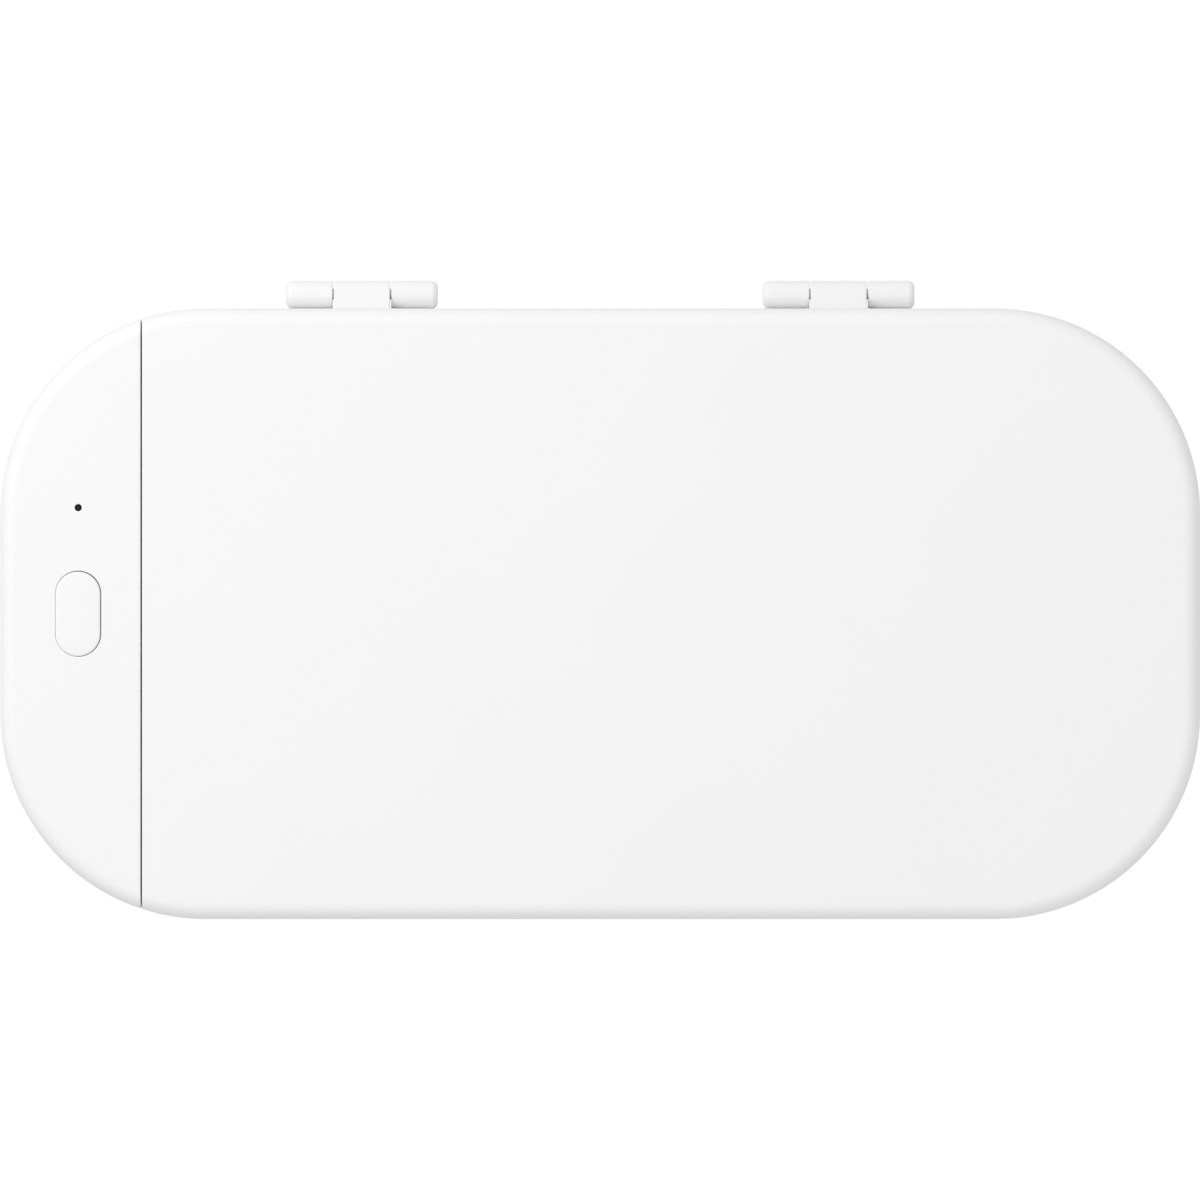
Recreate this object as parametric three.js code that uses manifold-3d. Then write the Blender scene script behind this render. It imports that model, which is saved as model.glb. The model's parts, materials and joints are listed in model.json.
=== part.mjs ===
// Phone sanitizer box: a rounded white case with a hinged lid over a mirrored chamber, and a fixed
// control end with one button, one indicator and a charging socket.
// Millimetres, +Z up, +X from the control end to the far end of the lid, +Y to the hinges.
// The origin is on the table, under the middle of the outline with its hinges.
// Places are written in the case frame, whose y is zero in the middle of the case without its hinges.

import * as THREE from 'three';
import { mergeVertices } from 'three/addons/utils/BufferGeometryUtils.js';
import Module from 'manifold-3d';

// Case
const caseLength = 220;
const caseDepth = 112;
const caseCornerRadius = 37.6;
const baseHeight = 27.5;
const lidHeight = 15.6;
const partingGap = 0.4;
const wallThickness = 2.4;
const floorThickness = 2.4;
const lidEdgeRound = 2.9;
const baseEdgeRound = 2;
const controlLength = 25.85;
const seamGap = 0.35;

// Clearances, and how far a cutting or joining shape runs past the face that it meets
const fitGap = 0.3;
const closeGap = 0.15;
const overrun = 0.6;

// Hinges and the stop that ends the lid's swing
const hingeShare = 0.605;
const barrelRadius = 2.45;
const barrelGap = 0.3;
const outerKnuckleLength = 8.5;
const centreKnuckleLength = 10.3;
const knuckleGap = 0.3;
const knuckleEndRound = 1.2;
const knuckleWebDrop = 8;
const knuckleWebRise = 4.6;
const knuckleWebSetback = 0.5;
const knuckleLowerDegrees = -20;
const knuckleUpperDegrees = 50;
const pinRadius = 1;
const pinEndInset = 0.6;
const lidOpenDegrees = 105;
const heelDegrees = 45;
const stopGap = 0.12;

// Feet and case screws
const footProud = 1.5;
const footRecess = 1;
const footRadius = 6;
const footEdgeRound = 0.5;
const footReach = 20;
const cornerDegrees = 45;
const towerWallGap = 0.4;
const towerRadius = 3.6;
const postRadius = 3;
const postDrop = 7;
const screwSeatThickness = 2.5;
const screwHeadRadius = 2.3;
const screwHeadHeight = 1.6;
const screwShankRadius = 1.2;
const screwShankLength = 8.5;
const driverRadius = 0.9;
const driverDepth = 0.8;

// Grip under the front edge of the lid
const gripWidth = 26;
const gripHeight = 5.5;
const gripDepth = 1.2;
const gripCornerRadius = 3;

// Chamber tray and lid liner
const rimWidth = 8.5;
const trayWall = 1.5;
const trayFloor = 2;
const trayCornerRadius = 6;
const trayEdgeRound = 1.4;
const trayInnerRound = 2;
const flangeThickness = 1.5;
const flangeDrop = 0.6;
const lipRise = 2;
const lipGap = 0.4;
const ribShares = [-0.95, -0.35, 0.35, 0.95];
const endRibShares = [-0.6, 0.6];
const ribThickness = 1.6;
const ribReach = 5;
const linerPostRadius = 2.8;
const linerPostInsetX = 16;
const linerPostInsetY = 14;
const linerScrewHeadRadius = 2;
const linerScrewHeadHeight = 1;
const linerScrewShankLength = 5;

// Magnets and catch plates
const magnetRadius = 2.5;
const magnetHeight = 2.4;
const catchHeight = 1.5;
const cupWall = 0.8;
const cupExtraDepth = 0.4;
const latchShare = 0.65;

// Lamps and quartz windows
const windowEndMargin = 14;
const windowWidth = 12;
const windowThickness = 1;
const windowRecess = 1.2;
const windowLedge = 1.5;
const windowCornerRadius = 2;
const lampCount = 4;
const lampEndInset = 12;
const lampWidth = 3.5;
const lampHeight = 1.4;
const lampDomeRadius = 1.3;
const lampDomeHeight = 0.5;
const lampWindowGap = 0.6;
const lampBoardWidth = 10;
const lampBoardOverhang = 4;
const boardThickness = 1.2;
const lowerBoardRise = 2.6;
const lidBoardDrop = 1.6;
const stakeInset = 3;
const stakeRadius = 2.2;
const stakePinRadius = 0.9;
const stakePinProud = 0.9;

// Phone rests
const restSpacing = 48;
const restWidth = 2.6;
const restRise = 3;
const restGroove = 0.8;
const restTopRound = 1.1;

// Button, indicator and the board under them
const buttonFromEnd = 14.3;
const buttonWidth = 8.4;
const buttonLength = 15.8;
const buttonRingGap = 0.2;
const buttonProud = 0.4;
const buttonEdgeRound = 0.5;
const buttonFlangeReach = 1.3;
const buttonFlangeThickness = 0.8;
const switchWidth = 6;
const switchHeight = 2.6;
const plungerRadius = 1.7;
const plungerProud = 0.9;
const plungerDepth = 1;
const buttonTravel = 0.5;
const indicatorShare = 0.6277;
const indicatorHoleRadius = 0.65;
const lightPipeRadius = 1.5;
const lightPipeInset = 0.3;
const lightPipeCollarWall = 0.8;
const lightPipeCollarDrop = 2;
const indicatorWidth = 3;
const indicatorHeight = 0.9;
const controlBoardMargin = 1.6;
const boardToScrewGap = 6.9;
const buttonBoardPostInset = 4;
const hallFromSeam = 3.2;
const hallWidth = 4;
const hallThickness = 1.5;
const hallHeight = 3.2;
const hallLegWidth = 0.5;
const hallLegPitch = 1.27;
const hallLegOverlap = 0.5;

// Main board, its parts and the charging socket
const mainBoardRise = 9;
const mainBoardPostInset = 5;
const boardPostRadius = 2.4;
const boardScrewHeadRadius = 2;
const boardScrewHeadHeight = 1.2;
const boardScrewShankRadius = 1;
const boardScrewShankLength = 5;
const socketWidth = 8.9;
const socketHeight = 3.2;
const socketLength = 7.4;
const socketShell = 0.35;
const socketInset = 0.5;
const socketMouthDepth = 6.2;
const tongueWidth = 6.6;
const tongueThickness = 0.7;
const tongueSetback = 0.8;
const controllerWidth = 6;
const controllerHeight = 1;
const controllerShare = 0.29;
const inductorWidth = 7;
const inductorHeight = 3.6;
const inductorShare = -0.36;
const capacitorRadius = 3;
const capacitorHeight = 7;
const capacitorShare = -0.63;
const capacitorFromButton = 6;

// Leads
const ribbonThickness = 0.4;
const ribbonWidth = 8;
const ribbonNotchRise = 5;
const ribbonFromSeam = 5;
const ribbonBend = 3;
const buttonRibbonShare = -0.68;
const feedRadius = 1;
const feedShare = 0.71;
const feedBend = 5;
const feedLaneShares = [[0.08, 0.02], [0.3, 0.24], [0.6, 0.72], [0.88, 0.98]];
const connectorWidth = 12;
const connectorHeight = 5;
const connectorDepth = 5.6;
const connectorDrop = 4;
const flexFromWall = 3.6;
const flexBend = 5;
const flexSlotWidth = 3.2;

// Facets
const quarterTurn = Math.PI / 2;
const halfTurnDegrees = 180;
const cornerSteps = 12;
const smallCornerSteps = 4;
const roundSteps = 4;
const barrelSides = 20;
const rodSides = 12;
const cupSides = 16;
const driverSides = 6;
const feedSides = 8;
const feedSteps = 36;

// Heights above the table
const floorTop = footProud + floorThickness;
const baseTop = footProud + baseHeight;
const lidBottom = baseTop + partingGap;
const lidTop = lidBottom + lidHeight;
const lidCeiling = lidTop - wallThickness;
const hingeZ = baseTop + partingGap / 2;
const flangeTop = baseTop - flangeDrop;
const flangeBottom = flangeTop - flangeThickness;
const lipTop = baseTop + lipRise;
const linerFlangeBottom = lidBottom + flangeDrop;
const linerFlangeTop = linerFlangeBottom + flangeThickness;
const towerTop = flangeBottom - postDrop;
const screwSeat = towerTop - screwSeatThickness;
const lowerBoardBottom = floorTop + lowerBoardRise;
const lowerBoardTop = lowerBoardBottom + boardThickness;
const lowerWindowSeat = lowerBoardTop + lampHeight + lampWindowGap;
const trayFloorTop = lowerWindowSeat + windowRecess;
const trayBottom = trayFloorTop - trayFloor;
const lidBoardTop = lidCeiling - lidBoardDrop;
const lidBoardBottom = lidBoardTop - boardThickness;
const lidWindowSeat = lidBoardBottom - lampHeight - lampWindowGap;
const linerPlateBottom = lidWindowSeat - windowRecess;
const linerPlateTop = linerPlateBottom + trayFloor;
const mainBoardBottom = floorTop + mainBoardRise;
const mainBoardTop = mainBoardBottom + boardThickness;
const buttonFlangeBottom = lidCeiling - fitGap - buttonFlangeThickness;
const switchTop = buttonFlangeBottom - plungerProud;
const buttonBoardTop = switchTop - switchHeight;
const buttonBoardBottom = buttonBoardTop - boardThickness;

// Places along the case
const leftEnd = -caseLength / 2;
const rightEnd = caseLength / 2;
const seamX = leftEnd + controlLength;
const coverRight = seamX - seamGap / 2;
const coverInside = coverRight - wallThickness;
const lidLeft = seamX + seamGap / 2;
const lidInside = lidLeft + wallThickness;
const innerDepth = caseDepth - 2 * wallThickness;
const rearWallInside = innerDepth / 2;
const buttonX = leftEnd + buttonFromEnd;
const hingeY = caseDepth / 2 + barrelGap + barrelRadius;
const straightHalf = caseLength / 2 - caseCornerRadius;
const straightEndHalf = caseDepth / 2 - caseCornerRadius;
const hingeXs = [-hingeShare * straightHalf, hingeShare * straightHalf];
const panLeft = lidInside + rimWidth;
const panRight = rightEnd - wallThickness - rimWidth;
const panMiddle = (panLeft + panRight) / 2;
const panDepth = innerDepth - 2 * rimWidth;
const windowLength = panRight - panLeft - 2 * (trayWall + windowEndMargin);
const lampPitch = (windowLength - 2 * lampEndInset) / (lampCount - 1);
const lampXs = Array.from({ length: lampCount }, (_, lamp) => (
  panMiddle + (lamp - (lampCount - 1) / 2) * lampPitch
));
const lampBoardLength = windowLength + 2 * lampBoardOverhang;
const stakeXs = [-1, 0, 1].map((side) => panMiddle + side * (lampBoardLength / 2 - stakeInset));
const cupRadius = magnetRadius + closeGap + cupWall;
const cupFromWall = towerWallGap + cupRadius;
const cupY = cupFromWall - rearWallInside;
const sensorMagnetX = lidInside + cupFromWall;
const latchXs = [-latchShare * straightHalf, latchShare * straightHalf];
const flexY = rearWallInside - flexFromWall;
const connectorTop = flangeBottom - connectorDrop;

// Outlines seen from above
const caseOutline = {
  left: leftEnd,
  right: rightEnd,
  depth: caseDepth,
  leftRadius: caseCornerRadius,
  rightRadius: caseCornerRadius,
  steps: cornerSteps,
};
const panOutline = {
  left: panLeft,
  right: panRight,
  depth: panDepth,
  leftRadius: trayCornerRadius,
  rightRadius: Math.max(caseCornerRadius - wallThickness - rimWidth, trayCornerRadius),
  steps: cornerSteps,
};

const buttonOutline = plate(buttonX, buttonWidth, buttonLength, buttonWidth / 2);
const windowOutline = plate(panMiddle, windowLength, windowWidth, windowCornerRadius);
const restOutlines = [-1, 1].map((side) => ({
  ...plate(panMiddle, windowLength, restWidth, restWidth / 2),
  middleY: (side * restSpacing) / 2,
}));
const linerInside = inset(panOutline, -lipGap);
const linerOutside = inset(linerInside, -trayWall);
const socketOutline = plate(0, socketWidth, socketHeight, socketHeight / 2);

// Places of the fasteners and of what sits on the boards, in x and y, but the socket's in y and z
const towerReach = caseCornerRadius - wallThickness - towerWallGap - postRadius;
const [, screwFromMiddle] = cornerPlace(towerReach, -1, 1);
const boardHalf = screwFromMiddle - postRadius - boardToScrewGap;
const mainBoardPostY = boardHalf - mainBoardPostInset;
const buttonBoardPostY = boardHalf - buttonBoardPostInset;
const controllerY = controllerShare * boardHalf;
const inductorY = inductorShare * boardHalf;
const capacitorPlace = [buttonX - capacitorFromButton, capacitorShare * boardHalf];
const buttonRibbonY = buttonRibbonShare * boardHalf;
const feedY = feedShare * boardHalf;
const caseScrewHole = screwShankRadius + closeGap;
const boardScrewHole = boardScrewShankRadius + closeGap;
const linerPosts = fourCorners((sideX, sideY) => [
  panMiddle + sideX * ((panRight - panLeft) / 2 - linerPostInsetX),
  sideY * (panDepth / 2 - linerPostInsetY),
]);
const mainBoardPosts = [-1, 1].map((side) => [buttonX, side * mainBoardPostY]);
const buttonBoardPosts = [-1, 1].map((side) => [buttonX, side * buttonBoardPostY]);
const indicatorPlace = [buttonX, indicatorShare * boardHalf];
const socketPlace = [0, mainBoardTop + socketHeight / 2];

// Faces and reaches of the hinges
const rearFace = caseDepth / 2;
const hingeHalf = centreKnuckleLength / 2 + knuckleGap + outerKnuckleLength;

const wasm = await Module();
wasm.setup();

// A geometry's closed surface as a solid that can be joined and cut.
function solid(geometry) {
  geometry.deleteAttribute('normal');
  geometry.deleteAttribute('uv');
  const merged = mergeVertices(geometry);
  const corners = Array.from(merged.index.array);
  const triangles = [];
  for (let first = 0; first < corners.length; first += 3) {
    const [a, b, c] = corners.slice(first, first + 3);
    if (a !== b && b !== c && c !== a) triangles.push(a, b, c);
  }
  return new wasm.Manifold(new wasm.Mesh({
    numProp: 3,
    vertProperties: new Float32Array(merged.attributes.position.array),
    triVerts: new Uint32Array(triangles),
  }));
}

function geometryOf(shape) {
  const { vertProperties, triVerts } = shape.getMesh();
  const geometry = new THREE.BufferGeometry();
  geometry.setAttribute('position', new THREE.BufferAttribute(new Float32Array(vertProperties), 3));
  geometry.setIndex(new THREE.BufferAttribute(new Uint32Array(triVerts), 1));
  geometry.computeVertexNormals();
  return geometry;
}

function join(...shapes) {
  return shapes.reduce((whole, shape) => whole.add(shape));
}

function cut(shape, ...cutters) {
  return cutters.reduce((rest, cutter) => rest.subtract(cutter), shape);
}

// An outline drawn in on every side, or let out where the distance is negative.
function inset(outline, distance) {
  return {
    ...outline,
    left: outline.left + distance,
    right: outline.right - distance,
    depth: outline.depth - 2 * distance,
    leftRadius: outline.leftRadius - distance,
    rightRadius: outline.rightRadius - distance,
  };
}

// The points round an outline at a height, anticlockwise seen from above.
function ringAt({ left, right, depth, leftRadius, rightRadius, steps, middleY = 0 }, z) {
  const corners = [
    { x: right - rightRadius, y: depth / 2 - rightRadius, radius: rightRadius },
    { x: left + leftRadius, y: depth / 2 - leftRadius, radius: leftRadius },
    { x: left + leftRadius, y: leftRadius - depth / 2, radius: leftRadius },
    { x: right - rightRadius, y: rightRadius - depth / 2, radius: rightRadius },
  ];
  return corners.flatMap(({ x, y, radius }, corner) => (
    Array.from({ length: steps + 1 }, (_, step) => {
      const angle = (corner + step / steps) * quarterTurn;
      const acrossY = middleY + y + radius * Math.sin(angle);
      return new THREE.Vector3(x + radius * Math.cos(angle), acrossY, z);
    })
  ));
}

// A closed solid through a row of rings with as many points each, closed flat at both ends.
function loft(rings) {
  const count = rings[0].length;
  const last = (rings.length - 1) * count;
  const indices = [];
  for (let first = 0; first < last; first += count) {
    for (let side = 0; side < count; side += 1) {
      const a = first + side;
      const b = first + ((side + 1) % count);
      indices.push(a, b, b + count, a, b + count, a + count);
    }
  }
  for (let side = 1; side + 1 < count; side += 1) {
    indices.push(0, side + 1, side);
    indices.push(last, last + side, last + side + 1);
  }
  const geometry = new THREE.BufferGeometry().setFromPoints(rings.flat());
  geometry.setIndex(indices);
  return solid(geometry);
}

// The insets and heights of a rounded edge, from its flat face to its upright side.
function edgeLevels(face, round, direction) {
  if (round === 0) return [{ inward: 0, z: face }];
  return Array.from({ length: roundSteps + 1 }, (_, step) => {
    const angle = (step / roundSteps) * quarterTurn;
    return {
      inward: round * (1 - Math.sin(angle)),
      z: face + direction * round * (1 - Math.cos(angle)),
    };
  });
}

// An upright slab of an outline, with its lower and upper edges rounded.
function slab(outline, bottom, top, lowerRound = 0, upperRound = 0) {
  const levels = [...edgeLevels(bottom, lowerRound, 1), ...edgeLevels(top, upperRound, -1).reverse()];
  return loft(levels.map(({ inward, z }) => ringAt(inset(outline, inward), z)));
}

function block([x0, x1], [y0, y1], [z0, z1]) {
  const geometry = new THREE.BoxGeometry(x1 - x0, y1 - y0, z1 - z0);
  geometry.translate((x0 + x1) / 2, (y0 + y1) / 2, (z0 + z1) / 2);
  return solid(geometry);
}

function rod(radius, [x, y], [z0, z1], sides = rodSides) {
  const geometry = new THREE.CylinderGeometry(radius, radius, z1 - z0, sides);
  geometry.rotateX(quarterTurn);
  geometry.translate(x, y, (z0 + z1) / 2);
  return solid(geometry);
}

// A turned piece round the z axis, from the radius and height of each point of its profile.
function turned(profile, sides = rodSides) {
  const points = profile.map(([radius, z]) => new THREE.Vector2(radius, z));
  const geometry = new THREE.LatheGeometry(points, sides);
  geometry.rotateX(quarterTurn);
  return solid(geometry);
}

// A prism along x of an outline drawn in y and z.
function prismX(points, [x0, x1]) {
  const shape = new THREE.Shape(points.map(([y, z]) => new THREE.Vector2(y, z)));
  const geometry = new THREE.ExtrudeGeometry(shape, { depth: x1 - x0, bevelEnabled: false });
  const toCase = new THREE.Matrix4().makeBasis(
    new THREE.Vector3(0, 1, 0),
    new THREE.Vector3(0, 0, 1),
    new THREE.Vector3(1, 0, 0),
  );
  geometry.applyMatrix4(toCase);
  geometry.translate(x0, 0, 0);
  return solid(geometry);
}

// The part of a shape to the left or to the right of a plane across the case.
function leftOf(shape, x) {
  return cut(shape, block([x, rightEnd + overrun], [-caseDepth, caseDepth], [-overrun, lidTop + overrun]));
}

function rightOf(shape, x) {
  return cut(shape, block([leftEnd - overrun, x], [-caseDepth, caseDepth], [-overrun, lidTop + overrun]));
}

// Calls a maker with each of the four signs of a rectangle's corners, front left first.
function fourCorners(make) {
  return [[-1, -1], [-1, 1], [1, -1], [1, 1]].map(([sideX, sideY]) => make(sideX, sideY));
}

// A bar along x of an outline whose own x runs along the case's y, and whose own y runs up.
function barX(outline, [x0, x1], [y, z]) {
  return loft([x0, x1].map((x) => (
    ringAt(outline, 0).map((point) => new THREE.Vector3(x, y + point.x, z + point.y))
  )));
}

// A bar along y of an outline that is drawn in x and z, and is alike on its left and right.
function barY(outline, [y0, y1], [x, z]) {
  return loft([y0, y1].map((y) => (
    ringAt(outline, 0).map((point) => new THREE.Vector3(x - point.x, y, z + point.y))
  )));
}

// An outline round a middle of x, with one radius at all its corners.
function plate(x, length, depth, radius) {
  return {
    left: x - length / 2,
    right: x + length / 2,
    depth,
    leftRadius: radius,
    rightRadius: radius,
    steps: smallCornerSteps,
  };
}

// A place on the diagonal of a corner of the case, so far from the middle of the corner's round.
function cornerPlace(reach, sideX, sideY) {
  const angle = THREE.MathUtils.degToRad(cornerDegrees);
  return [
    sideX * (straightHalf + reach * Math.cos(angle)),
    sideY * (straightEndHalf + reach * Math.sin(angle)),
  ];
}

// Hinges

// A round bar along the hinges' axis, with its ends rounded where asked.
function barrel(radius, [x0, x1], leftRound = 0, rightRound = 0) {
  const profile = [
    new THREE.Vector2(0, x0),
    ...edgeLevels(x0, leftRound, 1).map(({ inward, z }) => new THREE.Vector2(radius - inward, z)),
    ...edgeLevels(x1, rightRound, -1).reverse()
      .map(({ inward, z }) => new THREE.Vector2(radius - inward, z)),
    new THREE.Vector2(0, x1),
  ];
  const geometry = new THREE.LatheGeometry(profile, barrelSides);
  geometry.rotateZ(-quarterTurn);
  geometry.translate(0, hingeY, hingeZ);
  return solid(geometry);
}

// A point at an angle round the hinges' axis, measured up from the side away from the case.
function roundHinge(radius, degrees) {
  const angle = THREE.MathUtils.degToRad(degrees);
  return [hingeY + radius * Math.cos(angle), hingeZ + radius * Math.sin(angle)];
}

// The two outer knuckles of a hinge, each on a web that runs down the base's rear wall.
function outerKnuckles(hingeX) {
  const web = [
    [rearFace - overrun, hingeZ - knuckleWebSetback],
    [hingeY, hingeZ],
    roundHinge(barrelRadius, knuckleLowerDegrees),
    [rearFace, hingeZ - knuckleWebDrop],
    [rearFace - overrun, hingeZ - knuckleWebDrop],
  ];
  const inner = centreKnuckleLength / 2 + knuckleGap;
  const left = [hingeX - hingeHalf, hingeX - inner];
  const right = [hingeX + inner, hingeX + hingeHalf];
  return join(
    barrel(barrelRadius, left, knuckleEndRound, 0),
    prismX(web, [left[0] + knuckleEndRound, left[1]]),
    barrel(barrelRadius, right, 0, knuckleEndRound),
    prismX(web, [right[0], right[1] - knuckleEndRound]),
  );
}

// The centre knuckle of a hinge on its web up the lid's rear wall. Its hidden heel swings round with
// the lid and meets the base's rear wall where the swing ends.
function centreKnuckle(hingeX) {
  const span = [hingeX - centreKnuckleLength / 2, hingeX + centreKnuckleLength / 2];
  const web = [
    [rearFace - overrun, hingeZ + knuckleWebSetback],
    [hingeY, hingeZ],
    roundHinge(barrelRadius, knuckleUpperDegrees),
    [rearFace, hingeZ + knuckleWebRise],
    [rearFace - overrun, hingeZ + knuckleWebRise],
  ];
  const fromWall = THREE.MathUtils.degToRad(halfTurnDegrees - heelDegrees - lidOpenDegrees);
  const heelRadius = (barrelGap + barrelRadius - stopGap) / Math.cos(fromWall);
  const spread = THREE.MathUtils.radToDeg(Math.acos(barrelRadius / heelRadius));
  const heel = [
    [hingeY, hingeZ],
    roundHinge(barrelRadius, -heelDegrees - spread),
    roundHinge(heelRadius, -heelDegrees),
    roundHinge(barrelRadius, spread - heelDegrees),
  ];
  return join(barrel(barrelRadius, span), prismX(web, span), prismX(heel, span));
}

function pinHole(hingeX) {
  const reach = hingeHalf + overrun;
  return barrel(pinRadius + closeGap, [hingeX - reach, hingeX + reach]);
}

function hingePin(hingeX) {
  const reach = hingeHalf - pinEndInset;
  return barrel(pinRadius, [hingeX - reach, hingeX + reach]);
}

// Case parts

// Upright ribs that carry the tray's flange, along the long walls, the end wall and the divider.
function trayRibs() {
  const height = [floorTop - overrun, flangeBottom];
  const alongWalls = ribShares.flatMap((share) => [-1, 1].map((side) => {
    const x = share * straightHalf;
    const y = [side * (rearWallInside - ribReach), side * (rearWallInside + overrun)];
    y.sort((a, b) => a - b);
    return block([x - ribThickness / 2, x + ribThickness / 2], y, height);
  }));
  const endInside = rightEnd - wallThickness;
  const atEnds = endRibShares.flatMap((share) => {
    const y = share * straightEndHalf;
    const across = [y - ribThickness / 2, y + ribThickness / 2];
    return [
      block([endInside - ribReach, endInside + overrun], across, height),
      block([coverRight - overrun, coverRight + ribReach], across, height),
    ];
  });
  return join(...alongWalls, ...atEnds);
}

// A shoulder that a lamp board stands on, with a pin through the board.
function stake(x, [shoulder, root], pinEnd) {
  const ordered = (a, b) => [Math.min(a, b), Math.max(a, b)];
  return join(
    rod(stakeRadius, [x, 0], ordered(shoulder, root)),
    rod(stakePinRadius, [x, 0], ordered(pinEnd, (shoulder + root) / 2)),
  );
}

function baseShell() {
  const outer = slab(caseOutline, footProud, baseTop, baseEdgeRound);
  const hollow = slab(inset(caseOutline, wallThickness), floorTop, baseTop + overrun);
  const screws = fourCorners((sideX, sideY) => cornerPlace(towerReach, sideX, sideY));
  const feet = fourCorners((sideX, sideY) => cornerPlace(footReach, sideX, sideY));
  const fittings = join(
    block([coverInside, coverRight], [-caseDepth, caseDepth], [floorTop - overrun, baseTop]),
    trayRibs(),
    ...screws.map((place) => rod(towerRadius, place, [floorTop - overrun, towerTop])),
    ...mainBoardPosts.map((place) => (
      rod(boardPostRadius, place, [floorTop - overrun, mainBoardBottom])
    )),
    ...stakeXs.map((x) => (
      stake(x, [lowerBoardBottom, floorTop - overrun], lowerBoardTop + stakePinProud)
    )),
  );
  const shell = join(cut(outer, hollow), fittings.intersect(outer), ...hingeXs.map(outerKnuckles));
  const dividerReach = [coverInside - overrun, coverRight + overrun];
  const ribbonHalf = ribbonWidth / 2 + fitGap;
  const feedHalf = feedRadius + fitGap;
  const socketHole = inset(socketOutline, -fitGap);
  return cut(
    shell,
    ...hingeXs.map(pinHole),
    ...feet.map((place) => (
      rod(footRadius + closeGap, place, [footProud - overrun, footProud + footRecess], cupSides)
    )),
    ...screws.map((place) => (
      rod(screwHeadRadius + fitGap, place, [footProud - overrun, screwSeat], cupSides)
    )),
    ...screws.map((place) => rod(caseScrewHole, place, [screwSeat - overrun, towerTop + overrun])),
    ...mainBoardPosts.map((place) => (
      rod(boardScrewHole, place, [
        mainBoardTop - boardScrewShankLength - fitGap, mainBoardBottom + overrun,
      ])
    )),
    block(dividerReach, [-ribbonHalf, ribbonHalf], [floorTop, floorTop + ribbonNotchRise]),
    block(
      dividerReach,
      [feedY - feedHalf, feedY + feedHalf],
      [floorTop, floorTop + 2 * feedHalf],
    ),
    barX(socketHole, [leftEnd - overrun, leftEnd + wallThickness + overrun], socketPlace),
    barY(
      plate(0, gripWidth, 2 * gripHeight, gripCornerRadius),
      [-rearFace - overrun, gripDepth - rearFace],
      [0, baseTop],
    ),
  );
}

// The top cap of the case before the seam divides it, and the hollow under it.
function topCap() {
  return slab(caseOutline, lidBottom, lidTop, 0, lidEdgeRound);
}

function topHollow() {
  return slab(inset(caseOutline, wallThickness), lidBottom - overrun, lidCeiling);
}

function controlCover() {
  const shell = cut(leftOf(topCap(), coverRight), leftOf(topHollow(), coverInside));
  const screws = [-1, 1].map((side) => cornerPlace(towerReach, -1, side));
  const collarRadius = lightPipeRadius + closeGap + lightPipeCollarWall;
  const fittings = join(
    ...screws.map((place) => rod(postRadius, place, [towerTop, lidCeiling + overrun])),
    ...buttonBoardPosts.map((place) => (
      rod(boardPostRadius, place, [buttonBoardTop, lidCeiling + overrun])
    )),
    rod(collarRadius, indicatorPlace, [lidCeiling - lightPipeCollarDrop, lidCeiling + overrun]),
  );
  return cut(
    join(shell, fittings),
    ...screws.map((place) => (
      rod(caseScrewHole, place, [towerTop - overrun, screwSeat + screwShankLength + fitGap])
    )),
    ...buttonBoardPosts.map((place) => (
      rod(boardScrewHole, place, [
        buttonBoardTop - overrun, buttonBoardBottom + boardScrewShankLength + fitGap,
      ])
    )),
    slab(inset(buttonOutline, -buttonRingGap), lidCeiling - overrun, lidTop + overrun),
    rod(indicatorHoleRadius, indicatorPlace, [lidCeiling - overrun, lidTop + overrun]),
    rod(lightPipeRadius + closeGap, indicatorPlace, [
      lidCeiling - lightPipeCollarDrop - overrun, lidCeiling,
    ]),
  );
}

function lidShell() {
  const shell = cut(rightOf(topCap(), lidLeft), rightOf(topHollow(), lidInside));
  const fittings = join(
    ...linerPosts.map((place) => rod(linerPostRadius, place, [linerPlateTop, lidCeiling + overrun])),
    ...stakeXs.map((x) => stake(x, [lidBoardTop, lidCeiling + overrun], lidBoardBottom - stakePinProud)),
  );
  return cut(
    join(shell, fittings, ...hingeXs.map(centreKnuckle)),
    ...hingeXs.map(pinHole),
    ...linerPosts.map((place) => (
      rod(boardScrewHole, place, [
        linerPlateTop - overrun, linerPlateBottom + linerScrewShankLength + fitGap,
      ])
    )),
  );
}

// Mirrored parts of the chamber

// The slot in a flange that the lid's flat lead runs through.
function flexSlot(bottom, top) {
  const half = ribbonWidth / 2 + fitGap;
  return block(
    [-half, half],
    [flexY - flexSlotWidth / 2, flexY + flexSlotWidth / 2],
    [bottom - overrun, top + overrun],
  );
}

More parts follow.
